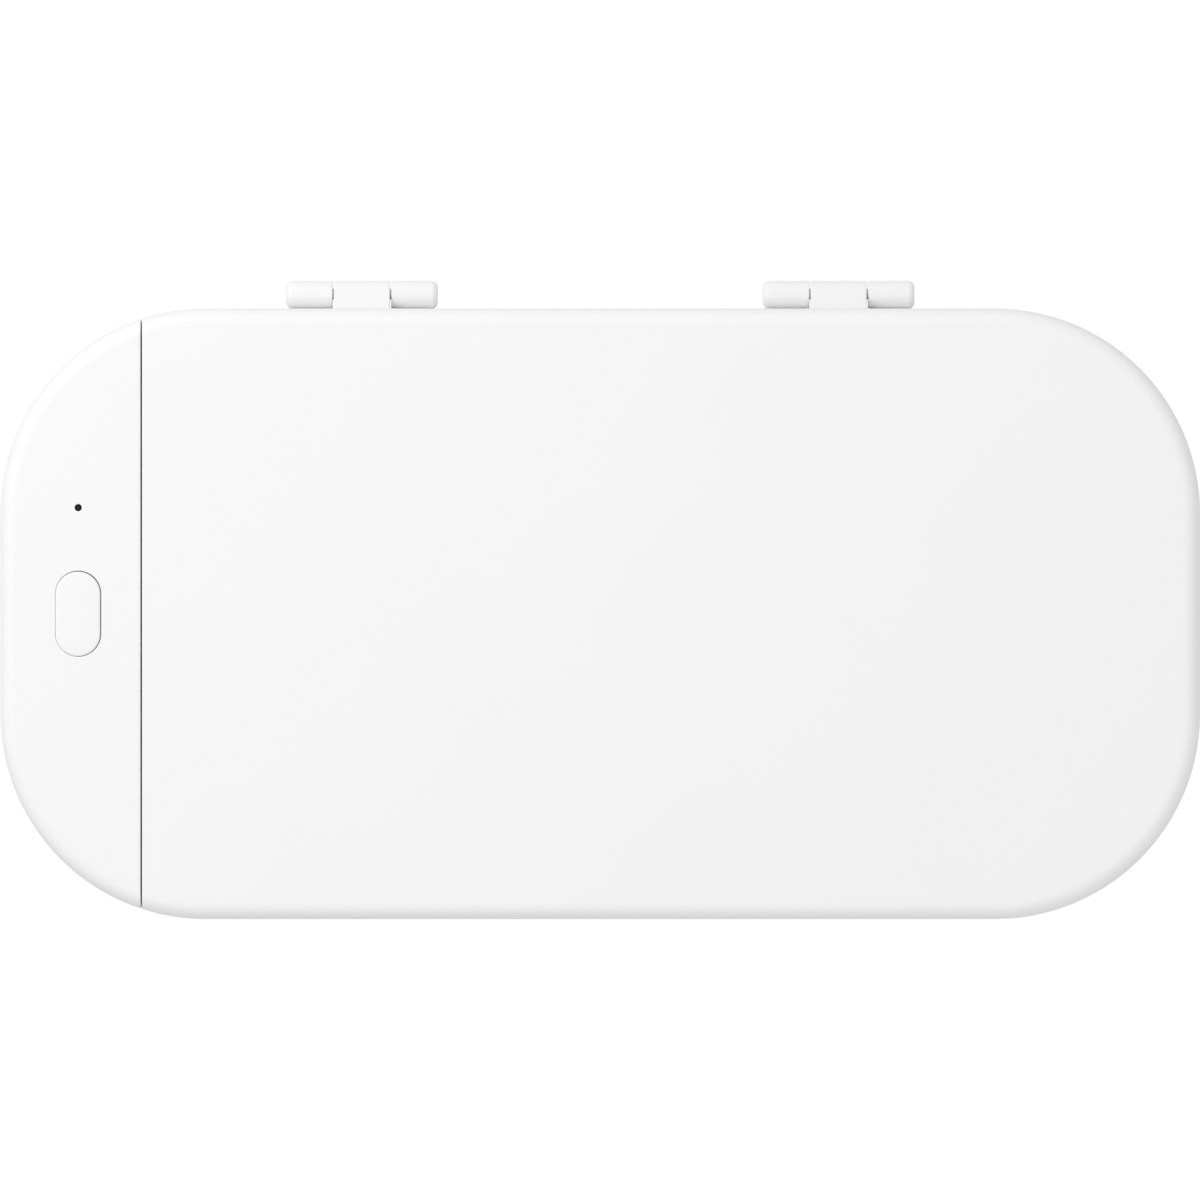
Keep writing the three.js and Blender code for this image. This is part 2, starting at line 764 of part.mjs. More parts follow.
function chamberTray() {
  const flange = slab(inset(caseOutline, wallThickness + fitGap), flangeBottom, flangeTop);
  const catchCups = latchXs.map((x) => rod(cupRadius, [x, cupY], [
    flangeBottom - catchHeight - cupExtraDepth, flangeBottom + overrun,
  ], cupSides));
  const screws = [-1, 1].map((side) => cornerPlace(towerReach, 1, side));
  const body = join(
    rightOf(flange, coverRight + fitGap),
    slab(panOutline, trayBottom, lipTop, trayEdgeRound),
    ...catchCups,
    ...screws.map((place) => rod(postRadius, place, [towerTop, flangeBottom + overrun])),
  );
  return cut(
    body,
    slab(inset(panOutline, trayWall), trayFloorTop, lipTop + overrun, trayInnerRound),
    slab(inset(windowOutline, -closeGap), lowerWindowSeat, trayFloorTop + overrun),
    slab(inset(windowOutline, windowLedge), trayBottom - overrun, lowerWindowSeat + overrun),
    ...restOutlines.map((outline) => (
      slab(inset(outline, -closeGap), trayFloorTop - restGroove, trayFloorTop + overrun)
    )),
    ...latchXs.map((x) => rod(magnetRadius + closeGap, [x, cupY], [
      flangeBottom - catchHeight - cupExtraDepth - overrun, flangeBottom,
    ], cupSides)),
    ...screws.map((place) => (
      rod(caseScrewHole, place, [towerTop - overrun, screwSeat + screwShankLength + fitGap])
    )),
    flexSlot(flangeBottom, flangeTop),
  );
}

function lidLiner() {
  const flange = slab(
    inset(caseOutline, wallThickness + fitGap), linerFlangeBottom, linerFlangeTop,
  );
  const magnets = [...latchXs.map((x) => [x, cupY]), [sensorMagnetX, 0]];
  const body = join(
    rightOf(flange, lidInside + fitGap),
    slab(linerOutside, linerFlangeBottom, linerPlateTop, 0, trayEdgeRound),
    ...magnets.map((place) => (
      rod(cupRadius, place, [linerFlangeTop - overrun, linerFlangeTop + magnetHeight], cupSides)
    )),
  );
  return cut(
    body,
    slab(linerInside, linerFlangeBottom - overrun, linerPlateBottom, 0, trayInnerRound),
    slab(inset(windowOutline, -closeGap), linerPlateBottom - overrun, lidWindowSeat),
    slab(inset(windowOutline, windowLedge), lidWindowSeat - overrun, linerPlateTop + overrun),
    ...magnets.map((place) => rod(magnetRadius + closeGap, place, [
      linerFlangeTop, linerFlangeTop + magnetHeight + overrun,
    ], cupSides)),
    ...linerPosts.map((place) => (
      rod(boardScrewHole, place, [linerPlateBottom - overrun, linerPlateTop + overrun])
    )),
    flexSlot(linerFlangeBottom, linerFlangeTop),
  );
}

// A quartz strip between its seat and its free face.
function quartzWindow(seat, face) {
  return slab(windowOutline, Math.min(seat, face), Math.max(seat, face));
}

// Boards and what they carry

function lampBoard(bottom, top) {
  const board = slab(plate(panMiddle, lampBoardLength, lampBoardWidth, windowCornerRadius), bottom, top);
  return cut(board, ...stakeXs.map((x) => (
    rod(stakePinRadius + closeGap, [x, 0], [bottom - overrun, top + overrun])
  )));
}

// An ultraviolet lamp on its own foot at z zero, with a domed lens.
function lamp() {
  const bodyTop = lampHeight - lampDomeHeight;
  const dome = Array.from({ length: roundSteps + 1 }, (_, step) => {
    const angle = (step / roundSteps) * quarterTurn;
    return [lampDomeRadius * Math.cos(angle), bodyTop + lampDomeHeight * Math.sin(angle)];
  });
  const half = lampWidth / 2;
  return join(
    block([-half, half], [-half, half], [0, bodyTop]),
    turned([[0, bodyTop / 2], [lampDomeRadius, bodyTop / 2], ...dome]),
  );
}

// A board in the control end, shaped to the wall round it.
function controlBoard(bottom, top, posts) {
  const whole = slab(inset(caseOutline, wallThickness + controlBoardMargin), bottom, top);
  const board = leftOf(whole, coverInside - controlBoardMargin).intersect(
    block([leftEnd, rightEnd], [-boardHalf, boardHalf], [bottom - overrun, top + overrun]),
  );
  return cut(board, ...posts.map((place) => (
    rod(boardScrewHole, place, [bottom - overrun, top + overrun])
  )));
}

function chargingSocket() {
  const front = leftEnd + socketInset;
  const [y, z] = socketPlace;
  const shell = cut(
    barX(socketOutline, [front, front + socketLength], socketPlace),
    barX(inset(socketOutline, socketShell), [front - overrun, front + socketMouthDepth], socketPlace),
  );
  return join(shell, block(
    [front + tongueSetback, front + socketMouthDepth + overrun],
    [y - tongueWidth / 2, y + tongueWidth / 2],
    [z - tongueThickness / 2, z + tongueThickness / 2],
  ));
}

// A square part on a board, in the middle of the button's line.
function chip(y, width, [bottom, top]) {
  return block([buttonX - width / 2, buttonX + width / 2], [y - width / 2, y + width / 2], [bottom, top]);
}

function tactSwitch() {
  const body = chip(0, switchWidth, [buttonBoardTop, switchTop]);
  const well = plungerDepth + buttonTravel + closeGap;
  return cut(body, rod(plungerRadius + closeGap, [buttonX, 0], [switchTop - well, switchTop + overrun]));
}

function switchPlunger() {
  return rod(plungerRadius, [buttonX, 0], [switchTop - plungerDepth, buttonFlangeBottom]);
}

function buttonCap() {
  return join(
    slab(buttonOutline, buttonFlangeBottom, lidTop + buttonProud, 0, buttonEdgeRound),
    slab(
      inset(buttonOutline, -buttonFlangeReach),
      buttonFlangeBottom,
      buttonFlangeBottom + buttonFlangeThickness,
    ),
  );
}

function lightPipe() {
  return join(
    rod(lightPipeRadius, indicatorPlace, [
      buttonBoardTop + indicatorHeight + fitGap, lidCeiling - closeGap,
    ]),
    rod(indicatorHoleRadius - closeGap, indicatorPlace, [
      lidCeiling - overrun, lidTop - lightPipeInset,
    ]),
  );
}

function hallSensor() {
  const x = coverInside - hallFromSeam;
  const middle = linerFlangeTop + magnetHeight / 2;
  const top = middle + hallHeight / 2;
  const legs = [-hallLegPitch, 0, hallLegPitch].map((y) => block(
    [x - hallLegWidth / 2, x + hallLegWidth / 2],
    [y - hallLegWidth / 2, y + hallLegWidth / 2],
    [top - hallLegOverlap, buttonBoardBottom],
  ));
  return join(block(
    [x - hallThickness / 2, x + hallThickness / 2],
    [-hallWidth / 2, hallWidth / 2],
    [middle - hallHeight / 2, top],
  ), ...legs);
}

// Leads

// Points along a quarter bend, from one angle to the next, both in quarter turns.
function bend([along, z], radius, from, to) {
  return Array.from({ length: roundSteps + 1 }, (_, step) => {
    const angle = (from + (to - from) * (step / roundSteps)) * quarterTurn;
    return [along + radius * Math.cos(angle), z + radius * Math.sin(angle)];
  });
}

// A flat lead that follows a path of points in an upright plane. The placer puts the distance along
// the plane, the distance across it and the height into the case frame.
function ribbon(path, placer) {
  const half = ribbonThickness / 2;
  return loft(path.map(([along, z], index) => {
    const before = path[Math.max(index - 1, 0)];
    const after = path[Math.min(index + 1, path.length - 1)];
    const way = new THREE.Vector2(after[0] - before[0], after[1] - before[1]).normalize();
    return [[-1, -1], [1, -1], [1, 1], [-1, 1]].map(([across, side]) => placer(
      along - side * half * way.y,
      (across * ribbonWidth) / 2,
      z + side * half * way.x,
    ));
  }));
}

function buttonRibbon() {
  const x = coverInside - ribbonFromSeam;
  return ribbon([[x, mainBoardTop], [x, buttonBoardBottom]], (along, across, z) => (
    new THREE.Vector3(along, buttonRibbonY + across, z)
  ));
}

function lowerLedRibbon() {
  const x = coverInside - ribbonFromSeam;
  const z = (lowerBoardBottom + lowerBoardTop) / 2;
  const path = [
    [x, mainBoardBottom],
    ...bend([x + ribbonBend, z + ribbonBend], ribbonBend, 2, 3),
    [panMiddle - lampBoardLength / 2, z],
  ];
  return ribbon(path, (along, across, height) => new THREE.Vector3(along, across, height));
}

// The lid's flat lead, up through both flanges and over the liner to the lid's lamp board.
function lidFlexCable() {
  const z = (lidBoardBottom + lidBoardTop) / 2;
  const path = [
    [flexY, connectorTop],
    [flexY, flangeTop],
    [flexY, linerFlangeBottom],
    ...bend([flexY - flexBend, z - flexBend], flexBend, 0, 1),
    [lampBoardWidth / 2, z],
  ];
  return ribbon(path, (along, across, height) => new THREE.Vector3(-across, along, height));
}

function flexConnector() {
  const back = rearWallInside - fitGap;
  return block(
    [-connectorWidth / 2, connectorWidth / 2],
    [back - connectorDepth, back],
    [connectorTop - connectorHeight, connectorTop],
  );
}

// The round lead from the main board, along the floor under the tray to the flat lead's connector.
function lidFeedCable() {
  const x = coverInside - ribbonFromSeam;
  const lane = floorTop + feedRadius + fitGap;
  const bendZ = lane + feedBend;
  const down = bend([x + feedBend, bendZ], feedBend, 2, 3);
  const up = bend([-feedBend, bendZ], feedBend, 3, 4);
  const across = feedLaneShares.map(([shareX, shareY]) => new THREE.Vector3(
    coverRight + (-feedBend - coverRight) * shareX,
    feedY + (flexY - feedY) * shareY,
    lane,
  ));
  const route = new THREE.CatmullRomCurve3([
    new THREE.Vector3(x, feedY, mainBoardBottom - fitGap),
    ...down.map(([along, z]) => new THREE.Vector3(along, feedY, z)),
    ...across,
    ...up.map(([along, z]) => new THREE.Vector3(along, flexY, z)),
    new THREE.Vector3(0, flexY, connectorTop - connectorHeight - fitGap),
  ], false, 'centripetal');
  const section = new THREE.Shape(Array.from({ length: feedSides }, (_, side) => {
    const angle = (side / feedSides) * 2 * Math.PI;
    return new THREE.Vector2(feedRadius * Math.cos(angle), feedRadius * Math.sin(angle));
  }));
  return solid(new THREE.ExtrudeGeometry(section, { steps: feedSteps, extrudePath: route }));
}

// Fasteners and feet

// A screw that points up, with the underside of its head at z zero.
function screw(headRadius, headHeight, shankRadius, shankLength) {
  const body = turned([
    [0, -headHeight],
    [headRadius, -headHeight],
    [headRadius, 0],
    [shankRadius, 0],
    [shankRadius, shankLength - shankRadius],
    [0, shankLength],
  ]);
  const driver = [-headHeight - overrun, driverDepth - headHeight];
  return cut(body, rod(driverRadius, [0, 0], driver, driverSides));
}

function caseScrew() {
  return screw(screwHeadRadius, screwHeadHeight, screwShankRadius, screwShankLength);
}

function boardScrew() {
  return screw(
    boardScrewHeadRadius, boardScrewHeadHeight, boardScrewShankRadius, boardScrewShankLength,
  );
}

function linerScrew() {
  return screw(
    linerScrewHeadRadius, linerScrewHeadHeight, boardScrewShankRadius, linerScrewShankLength,
  );
}

function foot() {
  const height = footProud + footRecess;
  return turned([
    [0, 0],
    [footRadius - footEdgeRound, 0],
    [footRadius, footEdgeRound],
    [footRadius, height],
    [0, height],
  ], cupSides);
}

function disc(height) {
  return rod(magnetRadius, [0, 0], [0, height], cupSides);
}

// A clear rail that sits in its groove in the tray's floor.
function phoneRest(outline) {
  return slab(outline, trayFloorTop - restGroove, trayFloorTop + restRise, 0, restTopRound);
}

// Finishes
const finishes = {
  whiteShell: { color: 0xf3f4f5, roughness: 0.5, metalness: 0 },
  whiteButton: { color: 0xf1f2f3, roughness: 0.45, metalness: 0 },
  mirrorCoat: { color: 0xc8ccd0, roughness: 0.18, metalness: 1 },
  quartz: { color: 0xdde6ec, roughness: 0.05, metalness: 0, transparent: true, opacity: 0.5 },
  clearRail: { color: 0xe6ecef, roughness: 0.2, metalness: 0, transparent: true, opacity: 0.7 },
  smokedLens: { color: 0x14161a, roughness: 0.15, metalness: 0 },
  steel: { color: 0xb6b9bc, roughness: 0.35, metalness: 1 },
  magnet: { color: 0x9a9ca0, roughness: 0.3, metalness: 1 },
  rubber: { color: 0xc3c6c8, roughness: 0.85, metalness: 0 },
  greenBoard: { color: 0x1f5b3d, roughness: 0.5, metalness: 0 },
  whiteBoard: { color: 0xe6e7e2, roughness: 0.5, metalness: 0 },
  lampBody: { color: 0xe9e2c8, roughness: 0.35, metalness: 0 },
  blackPart: { color: 0x1b1c1f, roughness: 0.55, metalness: 0 },
  flatLead: { color: 0xc7802f, roughness: 0.45, metalness: 0 },
  cableJacket: { color: 0x2a2b2e, roughness: 0.6, metalness: 0 },
  connectorBody: { color: 0xefe9d8, roughness: 0.6, metalness: 0 },
};

const sanitizer = new THREE.Group();
const box = new THREE.Group();
box.position.y = -(barrelGap + 2 * barrelRadius) / 2;
sanitizer.add(box);

// Adds a piece to the box. Small repeated pieces are made round their own origin and placed here.
function addPiece(name, shape, finish, place = [0, 0, 0], turnedOver = false) {
  const mesh = new THREE.Mesh(geometryOf(shape), new THREE.MeshStandardMaterial(finishes[finish]));
  mesh.name = name;
  mesh.position.set(...place);
  if (turnedOver) mesh.rotation.x = Math.PI;
  box.add(mesh);
}

addPiece('base_shell', baseShell(), 'whiteShell');
addPiece('control_cover', controlCover(), 'whiteShell');
addPiece('lid_shell', lidShell(), 'whiteShell');
addPiece('chamber_tray', chamberTray(), 'mirrorCoat');
addPiece('lid_liner', lidLiner(), 'mirrorCoat');
addPiece('lower_window', quartzWindow(lowerWindowSeat, lowerWindowSeat + windowThickness), 'quartz');
addPiece('lid_window', quartzWindow(lidWindowSeat, lidWindowSeat - windowThickness), 'quartz');
addPiece('lower_led_board', lampBoard(lowerBoardBottom, lowerBoardTop), 'whiteBoard');
addPiece('lid_led_board', lampBoard(lidBoardBottom, lidBoardTop), 'whiteBoard');
lampXs.forEach((x, index) => {
  addPiece(`lower_uv_led_${index + 1}`, lamp(), 'lampBody', [x, 0, lowerBoardTop]);
  addPiece(`lid_uv_led_${index + 1}`, lamp(), 'lampBody', [x, 0, lidBoardBottom], true);
});
['front', 'rear'].forEach((side, index) => {
  addPiece(`phone_rest_${side}`, phoneRest(restOutlines[index]), 'clearRail');
  addPiece(`main_board_screw_${side}`, boardScrew(), 'steel', [
    ...mainBoardPosts[index], mainBoardTop,
  ], true);
  addPiece(`button_board_screw_${side}`, boardScrew(), 'steel', [
    ...buttonBoardPosts[index], buttonBoardBottom,
  ]);
});
['left', 'right'].forEach((side, index) => {
  addPiece(`hinge_pin_${side}`, hingePin(hingeXs[index]), 'steel');
  addPiece(`latch_magnet_${side}`, disc(magnetHeight), 'magnet', [
    latchXs[index], cupY, linerFlangeTop,
  ]);
  addPiece(`catch_plate_${side}`, disc(catchHeight), 'steel', [
    latchXs[index], cupY, flangeBottom - catchHeight,
  ]);
});
addPiece('sensor_magnet', disc(magnetHeight), 'magnet', [sensorMagnetX, 0, linerFlangeTop]);
fourCorners((sideX, sideY) => [sideX, sideY]).forEach(([sideX, sideY], index) => {
  const number = index + 1;
  addPiece(`foot_${number}`, foot(), 'rubber', [...cornerPlace(footReach, sideX, sideY), 0]);
  addPiece(`case_screw_${number}`, caseScrew(), 'steel', [
    ...cornerPlace(towerReach, sideX, sideY), screwSeat,
  ]);
  addPiece(`liner_screw_${number}`, linerScrew(), 'steel', [...linerPosts[index], linerPlateBottom]);
});
addPiece('main_board', controlBoard(mainBoardBottom, mainBoardTop, mainBoardPosts), 'greenBoard');
addPiece('usb_c_socket', chargingSocket(), 'steel');
addPiece('controller_chip', chip(controllerY, controllerWidth, [
  mainBoardTop, mainBoardTop + controllerHeight,
]), 'blackPart');
addPiece('power_inductor', chip(inductorY, inductorWidth, [
  mainBoardTop, mainBoardTop + inductorHeight,
]), 'blackPart');
addPiece('capacitor', rod(capacitorRadius, capacitorPlace, [
  mainBoardTop, mainBoardTop + capacitorHeight,
]), 'steel');
addPiece('button_board', controlBoard(
  buttonBoardBottom, buttonBoardTop, buttonBoardPosts,
), 'greenBoard');
addPiece('tact_switch', tactSwitch(), 'blackPart');
addPiece('switch_plunger', switchPlunger(), 'blackPart');
addPiece('button_cap', buttonCap(), 'whiteButton');
addPiece('indicator_led', chip(indicatorPlace[1], indicatorWidth, [
  buttonBoardTop, buttonBoardTop + indicatorHeight,
]), 'lampBody');
addPiece('light_pipe', lightPipe(), 'smokedLens');
addPiece('hall_sensor', hallSensor(), 'blackPart');
addPiece('button_ribbon', buttonRibbon(), 'flatLead');
addPiece('lower_led_ribbon', lowerLedRibbon(), 'flatLead');
addPiece('lid_feed_cable', lidFeedCable(), 'cableJacket');
addPiece('flex_connector', flexConnector(), 'connectorBody');
addPiece('lid_flex_cable', lidFlexCable(), 'flatLead');

export default sanitizer;
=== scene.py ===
import json
import math

import bmesh
import bpy
from mathutils import Matrix, Vector

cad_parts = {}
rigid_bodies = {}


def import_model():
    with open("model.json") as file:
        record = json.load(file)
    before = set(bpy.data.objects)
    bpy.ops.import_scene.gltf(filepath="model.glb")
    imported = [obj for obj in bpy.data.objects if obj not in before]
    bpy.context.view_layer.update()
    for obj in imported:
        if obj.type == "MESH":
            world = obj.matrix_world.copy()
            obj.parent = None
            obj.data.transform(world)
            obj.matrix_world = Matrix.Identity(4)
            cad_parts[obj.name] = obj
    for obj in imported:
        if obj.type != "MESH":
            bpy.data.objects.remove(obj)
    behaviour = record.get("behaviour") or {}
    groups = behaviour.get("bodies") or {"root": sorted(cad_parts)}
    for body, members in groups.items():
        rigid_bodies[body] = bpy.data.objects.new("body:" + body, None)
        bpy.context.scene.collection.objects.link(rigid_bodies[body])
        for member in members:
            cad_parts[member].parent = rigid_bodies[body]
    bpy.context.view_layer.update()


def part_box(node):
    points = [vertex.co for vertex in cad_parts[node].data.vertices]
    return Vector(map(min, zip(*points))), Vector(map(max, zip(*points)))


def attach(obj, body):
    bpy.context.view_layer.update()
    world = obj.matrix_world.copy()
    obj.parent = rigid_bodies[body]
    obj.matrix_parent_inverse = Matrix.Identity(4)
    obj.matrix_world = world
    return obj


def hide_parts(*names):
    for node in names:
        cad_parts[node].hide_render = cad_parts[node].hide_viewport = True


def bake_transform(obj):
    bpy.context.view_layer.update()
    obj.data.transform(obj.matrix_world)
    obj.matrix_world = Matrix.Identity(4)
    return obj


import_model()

# Shapes are drawn in millimetres, with y zero in the middle of the case without its hinges.
mm = 0.001
quarterTurn = math.pi / 2
coverLow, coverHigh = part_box("control_cover")
caseMiddle = Vector((0, (coverLow.y + coverHigh.y) / 2, 0))
toFrame = Matrix.Translation(caseMiddle) @ Matrix.Scale(mm, 4)


class Node:
    # where a CAD node lies
    def __init__(self, name):
        self.low, self.high = ((corner - caseMiddle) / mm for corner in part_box(name))
        self.middle, self.size = (self.low + self.high) / 2, self.high - self.low
        self.radius = self.size.x / 2


def each(name, *ends):
    return [f"{name}_{end}" for end in ends]


def middles(names):
    return [Node(name).middle.xy for name in names]


case = {
    "cornerRadius": 37.6, "wall": 2.4, "lidHeight": 15.6, "partingGap": 0.4,
    "lidEdgeRound": 2.9, "baseEdgeRound": 2.0, "insideRound": 0.8,
    "mouldedEdge": 0.3,  # the small round on every parting and seam edge
    "flatMargin": 0.6,  # from a round to the next ring of points on the flat
    "cornerSteps": 40, "roundSteps": 12, "edgeSteps": 5,
    "overrun": 0.6,  # how far a cutting or joining shape runs past the face that it meets
    "seamTrim": 0.05,  # how much further each side reaches into the seam than its CAD node
}
baseNode, lidNode, coverNode = Node("base_shell"), Node("lid_shell"), Node("control_cover")
leftEnd, rightEnd = baseNode.low.x, baseNode.high.x
rearFace = -lidNode.low.y
wallInside = rearFace - case["wall"]
lidTop, lidBottom = coverNode.high.z, coverNode.high.z - case["lidHeight"]
lidCeiling = lidTop - case["wall"]
baseTop, baseBottom = lidBottom - case["partingGap"], baseNode.low.z
floorTop = baseBottom + case["wall"]
coverRight, lidLeft = coverNode.high.x + case["seamTrim"], lidNode.low.x - case["seamTrim"]
coverInside, lidInside = coverRight - case["wall"], lidLeft + case["wall"]
arcX, arcY = rightEnd - case["cornerRadius"], rearFace - case["cornerRadius"]
overrun = case["overrun"]
corners = ((1, 1), (-1, 1), (-1, -1), (1, -1))


# Mesh helpers

def newObject(name, content):
    made = bpy.data.objects.new(name, content)
    bpy.context.scene.collection.objects.link(made)
    return made


def baked(holder):
    # the holder's evaluated shape as a plain mesh, after which the holder goes
    bpy.context.view_layer.update()
    graph = bpy.context.evaluated_depsgraph_get()
    mesh = bpy.data.meshes.new_from_object(holder.evaluated_get(graph), depsgraph=graph)
    bpy.data.objects.remove(holder)
    return mesh


def meshOf(points, faces=(), edges=()):
    mesh = bpy.data.meshes.new("shape")
    mesh.from_pydata([tuple(point) for point in points], edges, faces)
    return mesh


def combine(base, joins=(), cuts=(), limits=()):
    # a base with shapes joined to it, then others cut from it, or only what it shares with a limit
    holder, groups = newObject("holder", base), []
    for operation, shapes in (("UNION", joins), ("DIFFERENCE", cuts), ("INTERSECT", limits)):
        if not shapes:
            continue
        group = bpy.data.collections.new(operation)
        for shape in shapes:
            group.objects.link(bpy.data.objects.new("tool", shape))
        modifier = holder.modifiers.new(operation, "BOOLEAN")
        modifier.operation, modifier.solver = operation, "MANIFOLD"
        modifier.operand_type, modifier.collection = "COLLECTION", group
        groups.append(group)
    made = baked(holder)
    for group in groups:
        for tool in list(group.objects):
            bpy.data.objects.remove(tool)
        bpy.data.collections.remove(group)
    return made


def loft(rings):
    # a closed solid through rings with as many points each
    count = len(rings[0])
    last = (len(rings) - 1) * count
    faces = [tuple(range(count - 1, -1, -1))]
    for first in range(0, last, count):
        for side in range(count):
            after = (side + 1) % count
            faces.append((first + side, first + after, first + count + after, first + count + side))
    faces.append(tuple(range(last, last + count)))
    return meshOf([point for ring in rings for point in ring], faces)


def turned(profile, place=(0, 0), sides=48):
    # a solid of revolution from (radius, height) points; the first and the last are on its axis
    points, rows, faces = [], [], []
    for radius, height in profile:
        start, count = len(points), sides if radius else 1
        for side in range(count):
            angle = 2 * math.pi * side / sides
            x, y = place[0] + radius * math.cos(angle), place[1] + radius * math.sin(angle)
            points.append((x, y, height))
        rows.append([start + side % count for side in range(sides + 1)])
    for low, high in zip(rows, rows[1:]):
        for side in range(sides):
            ring = [low[side], low[side + 1], high[side + 1], high[side]]
            face = list(dict.fromkeys(ring))
            if len(face) > 2:
                faces.append(face)
    return meshOf(points, faces)


def placed(mesh, place, quarters=0, axis="Z"):
    mesh.transform(Matrix.Translation(place) @ Matrix.Rotation(quarters * quarterTurn, 4, axis))
    return mesh


def rounding(radius, face, direction, steps):
    # pairs of how far in and how high, from the edge of a flat face to the upright side
    angles = [quarterTurn * step / steps for step in range(steps + 1)] if radius else [0]
    return [(radius * (1 - math.sin(angle)), face + direction * radius * (1 - math.cos(angle)))
            for angle in angles]


def upright(low, high, lowRound=0, highRound=0, steps=case["edgeSteps"]):
    # such pairs all the way up; a negative round opens outwards and runs on, as a cutter's rim does
    pairs = []
    for amount, face, direction in ((lowRound, low, 1), (highRound, high, -1)):
        part = rounding(abs(amount), face, direction, steps)
        if amount < 0:
            part = [(amount, face - direction * overrun)] + [(-inward, z) for inward, z in part]
        pairs += part[::direction]
    return pairs


def arc(middle, radius, start, end, steps):
    angles = [start + (end - start) * step / steps for step in range(steps + 1)]
    return [(middle[0] + radius * math.cos(angle), middle[1] + radius * math.sin(angle)) for angle in angles]


def dome(radius, base, rise, steps=8):
    # a profile from the edge of a dome to its top
    return [(radius * x, base + rise * z) for x, z in arc((0, 0), 1, 0, quarterTurn, steps)[:-1]] + [
        (0, base + rise)]


def box(low, high):
    return loft([[(x, y, z) for x, y in ((low[0], low[1]), (high[0], low[1]), (high[0], high[1]),
                                         (low[0], high[1]))] for z in (low[2], high[2])])


def block(place, size, low, high):
    # a box round a place
    x, y, across, along = place[0], place[1], size[0] / 2, size[1] / 2
    return box((x - across, y - along, low), (x + across, y + along, high))


def rod(radius, place, low, high, lowRound=0, highRound=0, sides=40):
    profile = [(radius - inward, z) for inward, z in upright(low, high, lowRound, highRound)]
    return turned([(0, profile[0][1]), *profile, (0, profile[-1][1])], place, sides)


def rods(radius, places, *limits):
    return [rod(radius, place, *limits) for place in places]


def softened(mesh, width, steps=3):
    # a simple shape with its edges bevelled
    work = bmesh.new()
    work.from_mesh(mesh)
    bmesh.ops.bevel(work, geom=work.edges[:], offset=width, segments=steps, profile=0.5,
                    affect="EDGES", clamp_overlap=True)
    work.to_mesh(mesh)
    work.free()
    return mesh


def between(low, high, edge, steps=3):
    return softened(box(low, high), edge, steps)


def alongX(points, x0, x1):
    # a prism between two places of x, from points in y and z, anticlockwise seen from the right
    return loft([[(x, y, z) for y, z in points] for x in (x0, x1)])


def plate(middle, size, radius, steps=10):
    # the outline of a rounded rectangle
    return {"left": middle[0] - size[0] / 2, "right": middle[0] + size[0] / 2, "middleY": middle[1],
            "depth": size[1], "leftRadius": radius, "rightRadius": radius, "steps": steps}


def drawnIn(outline, distance):
    shares = {"left": 1, "right": -1, "depth": -2, "leftRadius": -1, "rightRadius": -1}
    return {**outline, **{key: outline[key] + share * distance for key, share in shares.items()}}


def plateRing(outline, inset, z):
    # the points round it, anticlockwise seen from above
    points = []
    for corner, (sideX, sideY) in enumerate(corners):
        end = "right" if sideX > 0 else "left"
        radius, half = outline[end + "Radius"], outline["depth"] / 2
        middle = (outline[end] - sideX * radius, outline["middleY"] + sideY * (half - radius))
        points += arc(middle, radius - inset, corner * quarterTurn, (corner + 1) * quarterTurn,
                      outline["steps"])
    return [(x, y, z) for x, y in points]


def slab(outline, *limits):
    return loft([plateRing(outline, inward, z) for inward, z in upright(*limits)])


def caseRing(inset, z, side=0, seamX=0.0, corner=0.0):
    # the points round the case; side 1 keeps the lid's part of it and side -1 the cover's
    radius = case["cornerRadius"] - inset

    def part(signX, signY, start, end):
        return arc((signX * arcX, signY * arcY), radius, start, end, case["cornerSteps"])

    def bend(*ends):
        shares = [step / case["edgeSteps"] for step in range(1, case["edgeSteps"])]
        return [tuple(first * (1 - share) ** 2 + 2 * peak * share * (1 - share) + last * share * share
                      for first, peak, last in zip(*ends)) for share in shares]

    if side == 0:
        ring = [point for index, signs in enumerate(corners)
                for point in part(*signs, index * quarterTurn, (index + 1) * quarterTurn)]
        return [(x, y, z) for x, y in ring]
    meet = math.acos((seamX + arcX) / radius)
    trim = meet - side * corner / radius
    if side > 0:
        ring = part(1, -1, -quarterTurn, 0) + part(1, 1, 0, quarterTurn) + part(-1, 1, quarterTurn, trim)
        rest = part(-1, -1, -trim, -quarterTurn)
    else:
        ring, rest = part(-1, 1, trim, math.pi) + part(-1, -1, -math.pi, -trim), []
    meetY = side * (arcY + radius * math.sin(meet))
    seamEnd = meetY - side * corner
    ring += (bend(ring[-1], (seamX, meetY), (seamX, seamEnd)) + [(seamX, seamEnd), (seamX, -seamEnd)]
             + bend((seamX, -seamEnd), (seamX, -meetY), (rest or ring)[0]) + rest)
    return [(x, y, z) for x, y in ring]


def topPart(side, seamX):
    # the lid's or the cover's outer form, with a moulded edge along its seam face too
    edge, margin, lidRound = case["mouldedEdge"], case["flatMargin"], case["lidEdgeRound"]
    levels = [(inward, inward, z) for inward, z in rounding(edge, lidBottom, 1, case["edgeSteps"])]
    levels += [(0, 0, lidBottom + 2 * edge), (0, 0, lidTop - lidRound - edge)]
    for inward, z in rounding(lidRound, lidTop, -1, case["roundSteps"])[::-1]:
        beyond = max(z - lidTop + edge, 0)
        levels.append((inward, edge - math.sqrt(edge * edge - beyond * beyond), z))
    levels.append((lidRound + margin, edge + margin, lidTop))
    return loft([caseRing(inset, z, side, seamX + side * seamInset, edge) for inset, seamInset, z in levels])


